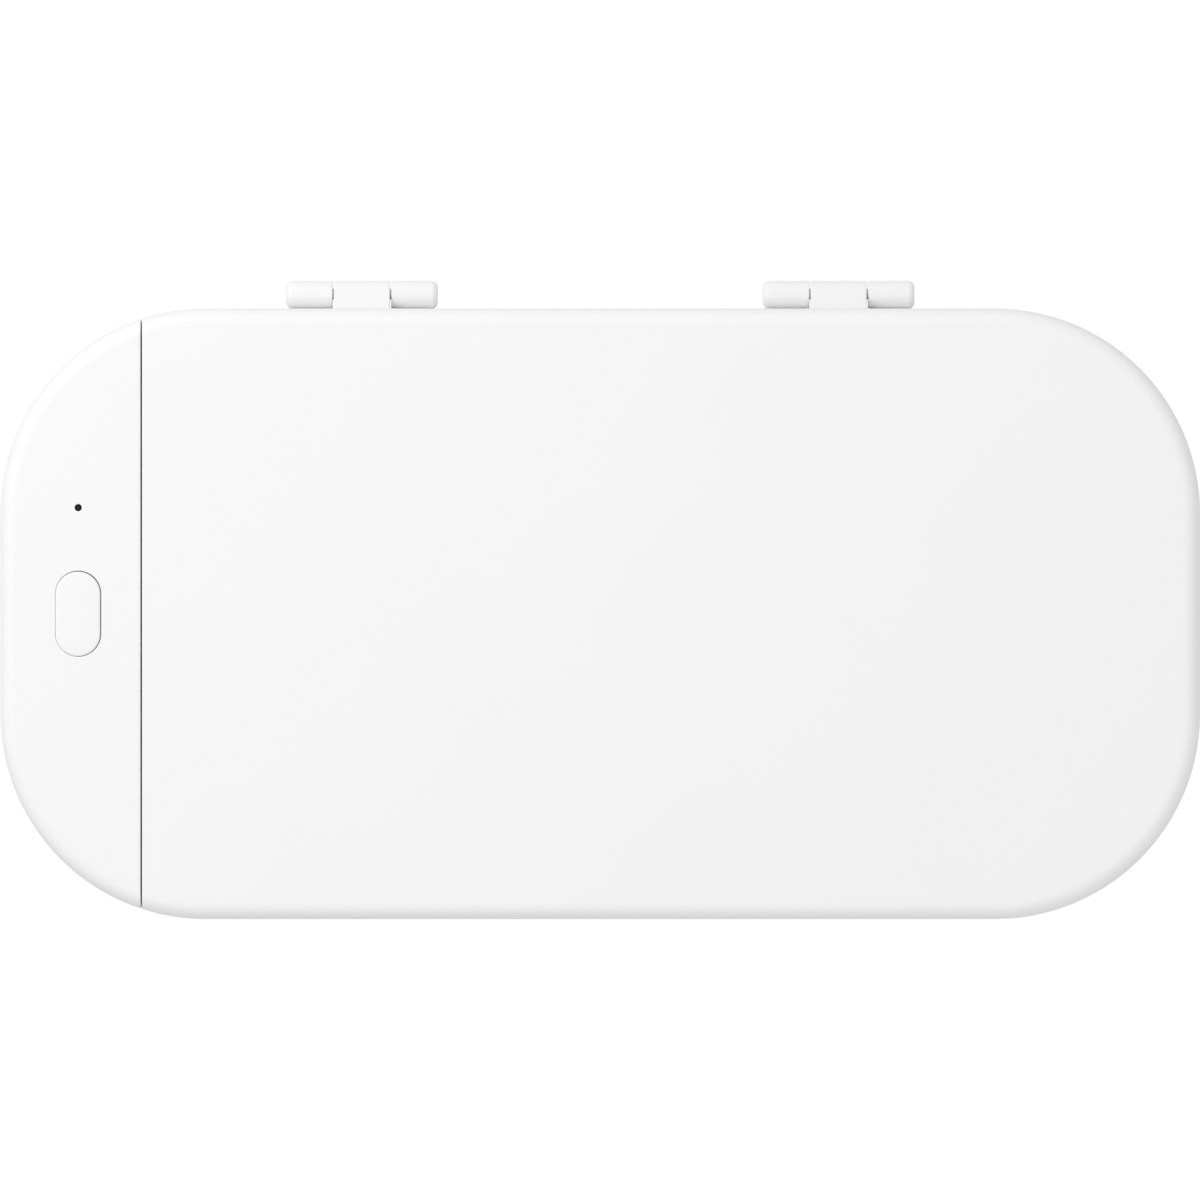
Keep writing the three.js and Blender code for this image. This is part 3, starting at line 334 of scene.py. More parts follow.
def hollowed(side, seamX, insideX):
    # the same with the room under it, whose mouth has a rounded edge
    inside = case["insideRound"]
    room = loft([caseRing(case["wall"] + inward, z, side, insideX + side * inward, inside)
                 for inward, z in upright(lidBottom, lidCeiling, -case["mouldedEdge"], inside)])
    return combine(topPart(side, seamX), cuts=[room])


# Hinges
hinge = {
    "radius": 2.45, "outerLength": 8.56, "centreLength": 10.3, "gap": 0.24,
    "outerEndRound": 1.2, "innerEndRound": 0.25, "boreRadius": 1.15, "sides": 56,
    "webDrop": 8.0, "webRise": 4.6, "webSetback": 0.5, "stopGap": 0.12,
    "lowerAngle": math.radians(-20), "upperAngle": math.radians(50),
    "heelAngle": math.radians(-45), "openAngle": math.radians(105),
    "fullness": 0.13,  # how much the outer knuckles swell towards the body, to leave a thin gap
}
pinNames = each("hinge_pin", "left", "right")
hingeXs = [place.x for place in middles(pinNames)]
hingeY, hingeZ = Node(pinNames[0]).middle.yz
webInside = rearFace - overrun


def barrel(radius, x0, x1, leftRound=0.0, rightRound=0.0):
    return placed(rod(radius, (0, 0), x0, x1, leftRound, rightRound, hinge["sides"]), (0, hingeY, hingeZ),
                  1, "Y")


def roundHinge(radius, angle):
    return hingeY + radius * math.cos(angle), hingeZ + radius * math.sin(angle)


def swollen(mesh):
    for vertex in mesh.vertices:
        across, up = vertex.co.y - hingeY, vertex.co.z - hingeZ
        towards = max(-across / (math.hypot(across, up) or 1), 0)
        scale = 1 + hinge["fullness"] * math.sqrt(towards)
        vertex.co.y, vertex.co.z = hingeY + across * scale, hingeZ + up * scale
    return mesh


def outerKnuckles(x):
    inner = hinge["centreLength"] / 2 + hinge["gap"]
    low = hingeZ - hinge["webDrop"]
    web = [(webInside, hingeZ - hinge["webSetback"]), (webInside, low), (rearFace, low),
           roundHinge(hinge["radius"], hinge["lowerAngle"]), (hingeY, hingeZ)]
    shapes = []
    for side in (-1, 1):
        x0, x1 = sorted((x + side * inner, x + side * (inner + hinge["outerLength"])))
        rounds = [hinge["outerEndRound"], hinge["innerEndRound"]][::-side]
        shapes.append(swollen(barrel(hinge["radius"], x0, x1, *rounds)))
        shapes.append(softened(alongX(web, x0 + rounds[0], x1 - rounds[1]), hinge["innerEndRound"]))
    return shapes


def centreKnuckle(x):
    # its heel is hidden under it and meets the base's rear wall where the lid's swing ends
    radius, edge, high = hinge["radius"], hinge["innerEndRound"], hingeZ + hinge["webRise"]
    x0, x1 = x - hinge["centreLength"] / 2, x + hinge["centreLength"] / 2
    web = [(webInside, high), (webInside, hingeZ + hinge["webSetback"]), (hingeY, hingeZ),
           roundHinge(radius, hinge["upperAngle"]), (rearFace, high)]
    fromWall = math.pi + hinge["heelAngle"] - hinge["openAngle"]
    reach = (hingeY - rearFace - hinge["stopGap"]) / math.cos(fromWall)
    spread = math.acos(radius / reach)
    heel = [(hingeY, hingeZ)] + [roundHinge(size, hinge["heelAngle"] + turn)
                                 for size, turn in ((radius, -spread), (reach, 0), (radius, spread))]
    return [barrel(radius, x0, x1, edge, edge), softened(alongX(web, x0, x1), edge),
            alongX(heel, x0 + edge, x1 - edge)]


def pinBore(x):
    reach = hinge["centreLength"] / 2 + hinge["gap"] + hinge["outerLength"] + overrun
    return barrel(hinge["boreRadius"], x - reach, x + reach)


# Lid shell
lid = {
    "postRadius": 2.8, "screwHole": 1.15, "freeEndRound": 0.3,
    "stakeRadius": 2.2, "stakePinRadius": 0.9, "stakePinProud": 0.9, "stakeInset": 3.0,
}
lidBoard, lowerBoard = Node("lid_led_board"), Node("lower_led_board")
linerPlateTop, linerScrewTop = Node("lid_liner").high.z, Node("liner_screw_1").high.z + overrun / 2
towerTop = coverNode.low.z
linerScrewNames = each("liner_screw", 1, 2, 3, 4)
linerScrews = middles(linerScrewNames)
stakeReach = lidBoard.radius - lid["stakeInset"]
stakeXs = [Node("lid_window").middle.x + side * stakeReach for side in (-1, 0, 1)]


def posts(radius, places, free, root):
    # posts with a softened free end, sunk into the face that they stand on
    edge = lid["freeEndRound"]
    return rods(radius, places, *sorted((free, root)), *((edge, 0) if free < root else (0, edge)))


def stakes(shoulder, root, pinEnd):
    # the stepped posts that hold a lamp board
    places = [(x, 0) for x in stakeXs]
    return (posts(lid["stakeRadius"], places, shoulder, root)
            + posts(lid["stakePinRadius"], places, pinEnd, (shoulder + root) / 2))


def lidShell():
    joins = posts(lid["postRadius"], linerScrews, linerPlateTop, lidCeiling + overrun)
    joins += stakes(lidBoard.high.z, lidCeiling + overrun, lidBoard.low.z - lid["stakePinProud"])
    for x in hingeXs:
        joins += centreKnuckle(x)
    cuts = [pinBore(x) for x in hingeXs]
    cuts += rods(lid["screwHole"], linerScrews, linerPlateTop - overrun, linerScrewTop)
    return combine(hollowed(1, lidLeft, lidInside), joins, cuts)


# Control cover, with the opening for the button and the hole for the indicator
cover = {
    "postRadius": 3.0, "boardPostRadius": 2.4, "screwHole": 1.35, "boardScrewHole": 1.15,
    "screwEndGap": 0.3, "buttonRing": 0.09, "buttonRimRound": 0.2,
    "indicatorRadius": 0.65, "indicatorRimRound": 0.15, "collarWall": 0.95, "collarDrop": 2.0,
}
caseScrewNames = each("case_screw", 1, 2, 3, 4)
buttonScrewNames = each("button_board_screw", "front", "rear")
mainScrewNames = each("main_board_screw", "front", "rear")
caseScrews, buttonBoardScrews, mainBoardScrews = (
    middles(names) for names in (caseScrewNames, buttonScrewNames, mainScrewNames))
indicator, pipe = Node("indicator_led"), Node("light_pipe")
buttonBoard, mainBoard = Node("button_board"), Node("main_board")
screwEnd = Node(caseScrewNames[0]).high.z + cover["screwEndGap"]


def buttonOutline(margin=0.0, shift=(0, 0)):
    width, length = button["width"] + 2 * margin, button["length"] + 2 * margin
    return plate((cap.middle.x + shift[0], shift[1]), (width, length), width / 2, button["cornerSteps"])


def controlCover():
    root, collarEnd, boardTop = lidCeiling + overrun, lidCeiling - cover["collarDrop"], buttonBoard.high.z
    boardScrewEnd = Node(buttonScrewNames[0]).high.z + cover["screwEndGap"]
    joins = posts(cover["postRadius"], caseScrews[:2], towerTop, root)
    joins += posts(cover["boardPostRadius"], buttonBoardScrews, boardTop, root)
    joins += posts(pipe.radius + cover["collarWall"], [indicator.middle], collarEnd, root)
    cuts = rods(cover["screwHole"], caseScrews[:2], towerTop - overrun, screwEnd)
    cuts += rods(cover["boardScrewHole"], buttonBoardScrews, boardTop - overrun, boardScrewEnd)
    cuts.append(slab(buttonOutline(cover["buttonRing"]), lidCeiling - overrun, lidTop,
                     0, -cover["buttonRimRound"]))
    cuts.append(rod(cover["indicatorRadius"], indicator.middle, lidCeiling - overrun, lidTop,
                    0, -cover["indicatorRimRound"]))
    cuts.append(rod(pipe.radius, indicator.middle, collarEnd - overrun, lidCeiling))
    return combine(hollowed(-1, coverRight, coverInside), joins, cuts)


# Button, and the light pipe of the indicator
button = {
    "width": 8.22, "length": 15.54, "edgeRound": 0.45, "cornerSteps": 16,
    "crown": 0.12,  # how much higher the middle of its top is than the start of its edge round
    "crownReach": 3.4, "flangeThickness": 0.8, "skirtRound": 0.15,
    "shift": (-0.06, -0.035),  # it sits a little to the front left in its opening
    "pipeRound": 0.2,
}
cap = Node("button_cap")


def buttonCap():
    # a flange that holds it under the cover, and a pill with a softly crowned top
    edge, skirt, steps = button["edgeRound"], button["skirtRound"], case["roundSteps"]
    flangeTop, shoulder = cap.low.z + button["flangeThickness"], cap.high.z - button["crown"]
    reach = cap.radius - button["width"] / 2
    levels = [(inward - reach, z) for inward, z in rounding(skirt, cap.low.z, 1, case["edgeSteps"])]
    levels += [(-reach, flangeTop - skirt), (skirt - reach, flangeTop), (0, flangeTop),
               (0, cap.high.z - 3 * edge)]
    levels += rounding(edge, shoulder, -1, steps)[::-1]
    for share in (step / steps for step in range(1, steps + 1)):
        levels.append((edge + (button["crownReach"] - edge) * share,
                       shoulder + button["crown"] * (1 - (1 - share) ** 2)))
    outline = buttonOutline(shift=button["shift"])
    return loft([plateRing(outline, inward, z) for inward, z in levels])


def lightPipe():
    # a wide body in the collar under the cover, and a thin tip with a domed end in the indicator's hole
    rim, edge, low = cover["indicatorRimRound"], button["pipeRound"], pipe.low.z
    step, tip = lidCeiling - rim, cover["indicatorRadius"] - rim
    body = [(pipe.radius - rim - inward, z) for inward, z in upright(low, step, edge, edge, 1)]
    end = [(tip, step), *dome(tip, pipe.high.z - edge, edge)]
    return turned([(0, low), *body, *end], indicator.middle)


# Base shell
base = {
    "towerRadius": 3.6, "wellRadius": 2.6, "seatThickness": 2.5, "footRecess": 1.0, "footHole": 6.15,
    "underRimRound": 0.2, "ribShares": (-0.95, -0.35, 0.35, 0.95), "endRibShares": (-0.6, 0.6),
    "ribThickness": 1.6, "ribReach": 5.0, "ribRound": 0.4,
    "ribbonNotch": (8.6, 5.0), "feedNotch": (2.6, 2.6),
    "socketHole": (9.5, 3.8), "socketRimRound": 0.35, "outlineSteps": 12,
    "gripWidth": 26.0, "gripHeight": 5.5, "gripDepth": 1.2, "gripRound": 3.0,
    "gripFloorRound": 0.6, "gripRimRound": 0.5,
}
flange = {"drop": 0.6, "thickness": 1.5, "gap": 0.3, "edgeSteps": 3, "slot": (8.6, 3.2)}
# Leads, whose ways through the shells are cut below
leads = {
    "feedRadius": 1.0, "feedBend": 5.0, "feedSides": 14, "feedSamples": 140,
    "feedLaneShares": ((0.08, 0.02), (0.3, 0.24), (0.6, 0.72), (0.88, 0.98)),
    "flatThickness": 0.4, "flatWidth": 8.0, "flatBend": 3.0, "flexBend": 5.0, "bendSteps": 12,
    "flatStep": 0.5, "hingeShare": 5,
}
socketNode, flexNode = Node("usb_c_socket"), Node("lid_flex_cable")
footNames = each("foot", 1, 2, 3, 4)
flangeTop = baseTop - flange["drop"]
flangeUnder = flangeTop - flange["thickness"]
feedY = Node("lid_feed_cable").low.y + leads["feedRadius"]
flexY = flexNode.high.y - leads["flatThickness"] / 2


def trayRibs():
    # upright ribs with rounded edges that carry the tray's flange
    half, reach, inner = base["ribThickness"] / 2, base["ribReach"], rightEnd - case["wall"]
    spans = [(share * arcX - half, share * arcX + half, side * (wallInside - reach),
              side * (wallInside + overrun)) for share in base["ribShares"] for side in (-1, 1)]
    spans += [(x0, x1, share * arcY - half, share * arcY + half) for share in base["endRibShares"]
              for x0, x1 in ((inner - reach, inner + overrun), (coverRight - overrun, coverRight + reach))]
    return [between((x0, min(ys), floorTop - overrun), (x1, max(ys), flangeUnder), base["ribRound"])
            for x0, x1, *ys in spans]


def baseShell():
    edge, steps, baseRound = case["mouldedEdge"], case["edgeSteps"], case["baseEdgeRound"]
    low, seat, rim = floorTop - overrun, towerTop - base["seatThickness"], -base["underRimRound"]
    levels = [(baseRound + case["flatMargin"], baseBottom)]
    levels += rounding(baseRound, baseBottom, 1, case["roundSteps"])
    levels += [(0, baseBottom + baseRound + edge), (0, baseTop - 2 * edge)]
    levels += rounding(edge, baseTop, -1, steps)[::-1]
    outer = loft([caseRing(inward, z) for inward, z in levels])
    inside = loft([caseRing(case["wall"] + inward, z)
                   for inward, z in upright(floorTop, baseTop, case["insideRound"], -edge)])
    divider = box((coverInside, -rearFace, low), (coverRight, rearFace, baseTop))
    joins = [combine(divider, limits=[outer])] + trayRibs()
    joins += rods(base["towerRadius"], caseScrews, low, towerTop, 0, edge)
    joins += rods(cover["boardPostRadius"], mainBoardScrews, low, mainBoard.low.z, 0, edge / 2)
    joins += stakes(lowerBoard.low.z, low, lowerBoard.high.z + lid["stakePinProud"])
    cuts = [socketHole(), gripHollow()]
    for x in hingeXs:
        joins += outerKnuckles(x)
        cuts.append(pinBore(x))
    cuts += rods(base["footHole"], middles(footNames), baseBottom, baseBottom + base["footRecess"], rim)
    cuts += rods(base["wellRadius"], caseScrews, baseBottom, seat, rim)
    cuts += rods(cover["screwHole"], caseScrews, seat - overrun, towerTop + overrun)
    cuts += rods(cover["boardScrewHole"], mainBoardScrews,
                 Node(mainScrewNames[0]).low.z - cover["screwEndGap"], mainBoard.low.z + overrun)
    for y, (width, height) in ((0, base["ribbonNotch"]), (feedY, base["feedNotch"])):
        cuts.append(box((coverInside - overrun, y - width / 2, floorTop),
                        (coverRight + overrun, y + width / 2, floorTop + height)))
    return combine(combine(outer, cuts=[inside]), joins, cuts)


def socketHole():
    # the stadium in the left wall that the plug goes through, its rim rounded outside
    width, height = base["socketHole"]
    hole = slab(plate((0, 0), (height, width), height / 2, base["outlineSteps"]),
                -leftEnd - case["wall"] - overrun, -leftEnd, 0, -base["socketRimRound"])
    return placed(hole, (0, 0, socketNode.middle.z), -1, "Y")


def gripHollow():
    # a shallow hollow under the lid's front edge, for a fingertip
    size = (base["gripWidth"], 2 * base["gripHeight"])
    hollow = slab(plate((0, 0), size, base["gripRound"], base["outlineSteps"]),
                  rearFace - base["gripDepth"], rearFace, base["gripFloorRound"], -base["gripRimRound"])
    return placed(hollow, (0, 0, baseTop), 1, "X")


# Mirrored tray and lid liner
mirror = {
    "rimWidth": 8.5, "wall": 1.5, "cornerRadius": 6.0, "cornerSteps": 20, "outerRound": 1.4,
    "innerRound": 2.0, "lipRound": 0.5, "linerGap": 0.4, "floor": 2.0,
    "windowRecess": 1.2, "windowLedge": 1.5, "windowCorner": 2.0, "windowPolish": 0.15,
    "pocketGap": 0.15, "pocketRim": 0.2, "restGroove": 0.8, "restRound": 1.1, "restSteps": 8,
    "cupRadius": 3.45, "cupHole": 2.65, "cupDepth": 1.9,
}
catchNames, latchNames = each("catch_plate", "left", "right"), each("latch_magnet", "left", "right")
linerMagnets = middles(latchNames + ["sensor_magnet"])
windows = {name: Node(name) for name in ("lower_window", "lid_window")}
rests = {name: Node(name) for name in each("phone_rest", "front", "rear")}
trayFloorTop = rests["phone_rest_front"].low.z + mirror["restGroove"]
trayBottom = trayFloorTop - mirror["floor"]
linerPlateUnder = windows["lid_window"].high.z - mirror["windowRecess"]
linerFlangeUnder = lidBottom + flange["drop"]
linerFlangeTop = linerFlangeUnder + flange["thickness"]
panLeft = lidInside + mirror["rimWidth"]
panRight = rightEnd - case["wall"] - mirror["rimWidth"]
pan = plate(((panLeft + panRight) / 2, 0), (panRight - panLeft, 2 * (wallInside - mirror["rimWidth"])),
            mirror["cornerRadius"], mirror["cornerSteps"])
pan["rightRadius"] = case["cornerRadius"] - case["wall"] - mirror["rimWidth"]
windowOutline = plate(windows["lower_window"].middle, windows["lower_window"].size, mirror["windowCorner"])
windowPocket = drawnIn(windowOutline, -mirror["pocketGap"])
windowHole = drawnIn(windowOutline, mirror["windowLedge"])
restOutlines = {name: plate(rest.middle, rest.size, rest.size.y / 2) for name, rest in rests.items()}


def flangePlate(low, high, seamX):
    # a thin plate of the case's own outline, right of the seam, with softened edges; and its ribbon slot
    edge, gap = case["mouldedEdge"] / 2, flange["gap"]
    whole = loft([caseRing(case["wall"] + gap + inward, z, 1, seamX + gap + inward, case["mouldedEdge"])
                  for inward, z in upright(low, high, edge, edge, flange["edgeSteps"])])
    return whole, block((0, flexY), flange["slot"], low - overrun, high + overrun)


def chamberTray():
    edge, rim, lip = case["mouldedEdge"], mirror["pocketRim"], mirror["lipRound"]
    shape, slot = flangePlate(flangeUnder, flangeTop, coverRight)
    seat, root = windows["lower_window"].low.z, flangeUnder + overrun
    trayLip, cupEnd = Node("chamber_tray").high.z, flangeUnder - mirror["cupDepth"]
    catches = middles(catchNames)
    joins = [slab(pan, trayBottom, trayLip, mirror["outerRound"], lip)]
    joins += rods(mirror["cupRadius"], catches, cupEnd, root, edge)
    joins += rods(cover["postRadius"], caseScrews[2:], towerTop, root, edge)
    cuts = [slot, slab(drawnIn(pan, mirror["wall"]), trayFloorTop, trayLip, mirror["innerRound"], -lip),
            slab(windowPocket, seat, trayFloorTop, 0, -rim),
            slab(windowHole, trayBottom - overrun, seat + overrun)]
    cuts += [slab(drawnIn(outline, -mirror["pocketGap"]), trayFloorTop - mirror["restGroove"], trayFloorTop,
                  0, -rim) for outline in restOutlines.values()]
    cuts += rods(mirror["cupHole"], catches, cupEnd - overrun, flangeUnder)
    cuts += rods(cover["screwHole"], caseScrews[2:], towerTop - overrun, screwEnd)
    return combine(shape, joins, cuts)


def lidLiner():
    shape, slot = flangePlate(linerFlangeUnder, linerFlangeTop, lidInside)
    inside = drawnIn(pan, -mirror["linerGap"])
    seat, magnetTop = windows["lid_window"].high.z, Node(latchNames[0]).high.z
    outside = drawnIn(inside, -mirror["wall"])
    joins = [slab(outside, linerFlangeUnder, linerPlateTop, 0, mirror["outerRound"])]
    joins += rods(mirror["cupRadius"], linerMagnets, linerFlangeTop - overrun, magnetTop,
                  0, case["mouldedEdge"])
    cuts = [slot, slab(inside, linerFlangeUnder, linerPlateUnder, -mirror["lipRound"], mirror["innerRound"]),
            slab(windowPocket, linerPlateUnder, seat, -mirror["pocketRim"]),
            slab(windowHole, seat - overrun, linerPlateTop + overrun)]
    cuts += rods(mirror["cupHole"], linerMagnets, linerFlangeTop, magnetTop + overrun)
    cuts += rods(lid["screwHole"], linerScrews, linerPlateUnder - overrun, linerPlateTop + overrun)
    return combine(shape, joins, cuts)


def quartzWindow(name):
    polish = mirror["windowPolish"]
    return slab(windowOutline, windows[name].low.z, windows[name].high.z, polish, polish)


def phoneRest(name):
    return slab(restOutlines[name], rests[name].low.z, rests[name].high.z, case["mouldedEdge"],
                mirror["restRound"], mirror["restSteps"])


# Boards
board = {"edge": 0.08, "pinHole": 1.05, "margin": 1.6, "cornerRadius": 2.0}


def lampBoard(node):
    shape = slab(plate(node.middle, node.size, board["cornerRadius"]), node.low.z, node.high.z,
                 board["edge"], board["edge"])
    places = [(x, 0) for x in stakeXs]
    return combine(shape, cuts=rods(board["pinHole"], places, node.low.z - overrun, node.high.z + overrun))


def controlBoard(node, screwPlaces):
    # a board shaped to the wall round it, cut straight at its ends and towards the chamber
    low, high, inset = node.low, node.high, case["wall"] + board["margin"]
    whole = loft([caseRing(inset + inward, z)
                  for inward, z in upright(low.z, high.z, board["edge"], board["edge"], 1)])
    limit = box((low.x - overrun, low.y, low.z - overrun), (high.x, high.y, high.z + overrun))
    holes = rods(cover["boardScrewHole"], screwPlaces, low.z - overrun, high.z + overrun)
    return combine(combine(whole, limits=[limit]), cuts=holes)


# Node trees, for finishes and for what repeats

def mathWith(operation):
    # an operator of the class below
    return lambda wire, other: wire.math(operation, other)


class Wire:
    # a socket of a node tree; sums on it add Math nodes
    def __init__(self, graph, socket):
        self.graph, self.socket = graph, socket

    def math(self, operation, other=0.0):
        return self.graph.node("Math", {0: self, 1: other}, operation=operation)

    def __floordiv__(self, other):
        return (self / other).math("FLOOR")

    __add__ = __radd__ = mathWith("ADD")
    __sub__ = mathWith("SUBTRACT")
    __mul__ = __rmul__ = mathWith("MULTIPLY")
    __truediv__ = mathWith("DIVIDE")
    __mod__ = mathWith("FLOORED_MODULO")
    __gt__ = mathWith("GREATER_THAN")
    __lt__ = mathWith("LESS_THAN")


class Graph:
    def __init__(self, tree):
        self.tree = tree

    def feed(self, socket, value):
        if isinstance(value, (list, Wire)):
            for wire in value if isinstance(value, list) else [value]:
                self.tree.links.new(wire.socket, socket)
        else:
            socket.default_value = value

    def node(self, kind, sockets=None, out=0, family="ShaderNode", **settings):
        made = self.tree.nodes.new(family + kind)
        for key, value in settings.items():
            setattr(made, key, value)
        for key, value in (sockets or {}).items():
            self.feed(made.inputs[key], value)
        return Wire(self, made.outputs[out]) if made.outputs else made


class Finish(Graph):
    # a material; its patterns are written in metres on the object
    def __init__(self, name):
        self.material = bpy.data.materials.new(name)
        self.material.use_nodes = True
        super().__init__(self.material.node_tree)
        self.tree.nodes.clear()
        self.place = self.node("TexCoord", out="Object")

    def axis(self, name):
        return self.node("SeparateXYZ", {0: self.place}, name)

    def noise(self, grain, detail=2.0, rough=0.5, place=None):
        # a cloud pattern whose blobs are about one grain across
        return self.node("TexNoise", {"Vector": place or self.place, "Scale": 1 / grain, "Detail": detail,
                                      "Roughness": rough})

    def scratches(self, grain, stretch):
        # fine marks, longer along x
        drawn = self.node("Mapping", {"Vector": self.place, "Scale": (1.0, stretch, stretch)})
        return self.noise(grain, 3.0, place=drawn)

    def mix(self, factor, first, second):
        return self.node("Mix", {0: factor, 6: (*first, 1), 7: (*second, 1)}, 2, data_type="RGBA")

    def bump(self, height, depth):
        return self.node("Bump", {"Height": height, "Distance": depth})

    def surface(self, **sockets):
        names = {
            "colour": "Base Color", "roughness": "Roughness", "metallic": "Metallic", "normal": "Normal",
            "ior": "IOR", "coat": "Coat Weight", "transmission": "Transmission Weight",
        }
        shader = self.node("BsdfPrincipled", {names[key]: value for key, value in sockets.items()})
        self.node("OutputMaterial", {"Surface": shader})
        return self.material


# Finishes
def dimmed(colour, share):
    return tuple(part * share for part in colour)


def varied(value, pattern, amount):
    # a value that a pattern lowers and raises
    return value + amount * (pattern - 0.5)


def mouldedPlastic(name, colour, shade, roughness, grain=0.00035):
    # moulded in a finely eroded tool, so it is satin, with a faint cloudiness
    finish = Finish(name)
    fine, broad = finish.noise(grain, detail=3.0, rough=0.6), finish.noise(grain=0.035)
    return finish.surface(colour=finish.mix(broad, colour, shade), normal=finish.bump(fine, depth=0.000012),
                          roughness=varied(varied(roughness, fine, amount=0.08), broad, amount=0.04))


def mirrorCoating():
    # vacuum metal on plastic: bright, with a little orange peel and fine wiping marks
    finish = Finish("mirrorCoating")
    peel = finish.noise(grain=0.004, detail=1.0, rough=0.4)
    wiped = finish.scratches(grain=0.0006, stretch=9.0)
    return finish.surface(colour=finish.mix(peel, (0.83, 0.84, 0.855), (0.78, 0.79, 0.805)), metallic=1.0,
                          roughness=0.1 + 0.07 * wiped, normal=finish.bump(peel, depth=0.00002))


def clearMaterial(name, colour, ior, roughness):
    finish = Finish(name)
    haze = finish.noise(grain=0.003)
    return finish.surface(colour=finish.mix(haze, colour, dimmed(colour, share=0.97)),
                          roughness=roughness + 0.03 * haze, transmission=1.0, ior=ior)


def metal(name, colour, roughness, grain=0.0004):
    finish = Finish(name)
    drawn, stain = finish.scratches(grain, stretch=6.0), finish.noise(grain=0.003)
    return finish.surface(colour=finish.mix(stain, colour, dimmed(colour, share=0.9)), metallic=1.0,
                          roughness=varied(roughness, drawn, amount=0.12),
                          normal=finish.bump(drawn, depth=0.000004))


def smokedClear():
    finish = Finish("smokedClear")
    smoke = finish.noise(grain=0.0008)
    return finish.surface(colour=finish.mix(smoke, (0.004, 0.004, 0.005), (0.01, 0.01, 0.012)),
                          roughness=0.3 + 0.06 * smoke, ior=1.3)


def footRubber():
    finish = Finish("footRubber")
    fine, dust = finish.noise(grain=0.00025, detail=4.0, rough=0.7), finish.noise(grain=0.004, detail=3.0)
    return finish.surface(colour=finish.mix(dust, (0.52, 0.53, 0.54), (0.6, 0.605, 0.61)),
                          roughness=varied(0.82, fine, amount=0.1), normal=finish.bump(fine, depth=0.00003))


def boardTracks(finish, along, across, pitch):
    # straight tracks in rows, each broken into stretches of which about half are there
    width, stretchLength, rowShift = 0.28 * pitch, 6 * pitch, 0.4
    row = across // pitch
    place = finish.node("CombineXYZ", {0: row, 1: (along + row * rowShift * pitch) // stretchLength})
    chance = finish.node("TexWhiteNoise", {"Vector": place})
    return (chance > 0.5) * (across % pitch < width)


def circuitBoard(name, mask, track, pitch):
    # tracks show as slightly raised, lighter lines under the solder mask
    finish = Finish(name)
    x, y = finish.axis("X"), finish.axis("Y")
    lines = boardTracks(finish, y, x, pitch).math("MAXIMUM", boardTracks(finish, x, y, 1.4 * pitch))
    return finish.surface(colour=finish.mix(lines, mask, track), normal=finish.bump(lines, depth=0.00003),
                          roughness=0.38 + 0.1 * finish.noise(grain=0.0004, detail=3.0))


def flatLeadFilm():
    # polyimide over copper tracks that run along the lead, a millimetre apart
    finish = Finish("flatLeadFilm")
    share = finish.node("Attribute", out="Fac", attribute_name="across") % 1.0
    tracks = (share > 0.25) * (share < 0.75)
    return finish.surface(colour=finish.mix(tracks, (0.42, 0.17, 0.035), (0.66, 0.33, 0.12)), coat=0.3,
                          roughness=0.36 + 0.1 * finish.noise(grain=0.0006),
                          normal=finish.bump(tracks, depth=0.00002))


finishes = {
    "white_shell": mouldedPlastic("whiteShell", (0.888, 0.888, 0.887), (0.872, 0.873, 0.874), 0.5),
    "white_button": mouldedPlastic("whiteButton", (0.888, 0.888, 0.888), (0.874, 0.875, 0.876), 0.4, 0.0003),
    "mirror_coat": mirrorCoating(),
    "quartz": clearMaterial("fusedQuartz", (0.96, 0.975, 0.985), 1.46, 0.01),
    "clear_rail": clearMaterial("clearRail", (0.93, 0.945, 0.95), 1.58, 0.12),
    "smoked_lens": smokedClear(),
    "foot_rubber": footRubber(),
    "white_board": circuitBoard("whiteBoard", (0.8, 0.8, 0.77), (0.72, 0.71, 0.66), 0.0016),
    "green_board": circuitBoard("greenBoard", (0.012, 0.09, 0.045), (0.03, 0.17, 0.08), 0.0011),
    "steel": metal("platedSteel", (0.62, 0.62, 0.61), 0.32),
    "socket_steel": metal("socketSteel", (0.7, 0.7, 0.69), 0.24),
    "magnet_plating": metal("magnetPlating", (0.55, 0.555, 0.56), 0.2, 0.0012),
    "capacitor_can": metal("capacitorCan", (0.72, 0.73, 0.74), 0.3, 0.0005),
    "black_part": mouldedPlastic("blackPart", (0.022, 0.022, 0.025), (0.035, 0.035, 0.038), 0.5, 0.0002),
    "lamp_body": mouldedPlastic("lampCeramic", (0.86, 0.82, 0.66), (0.8, 0.76, 0.6), 0.36, 0.0002),
    "cable_jacket": mouldedPlastic("cableJacket", (0.03, 0.03, 0.033), (0.045, 0.045, 0.05), 0.55, 0.0004),
    "connector_body": mouldedPlastic("connectorBody", (0.82, 0.78, 0.66), (0.78, 0.74, 0.62), 0.45, 0.0003),
    "flat_lead": flatLeadFilm(),
}
print("finishes:", len(finishes))


# Geometry Nodes recipes

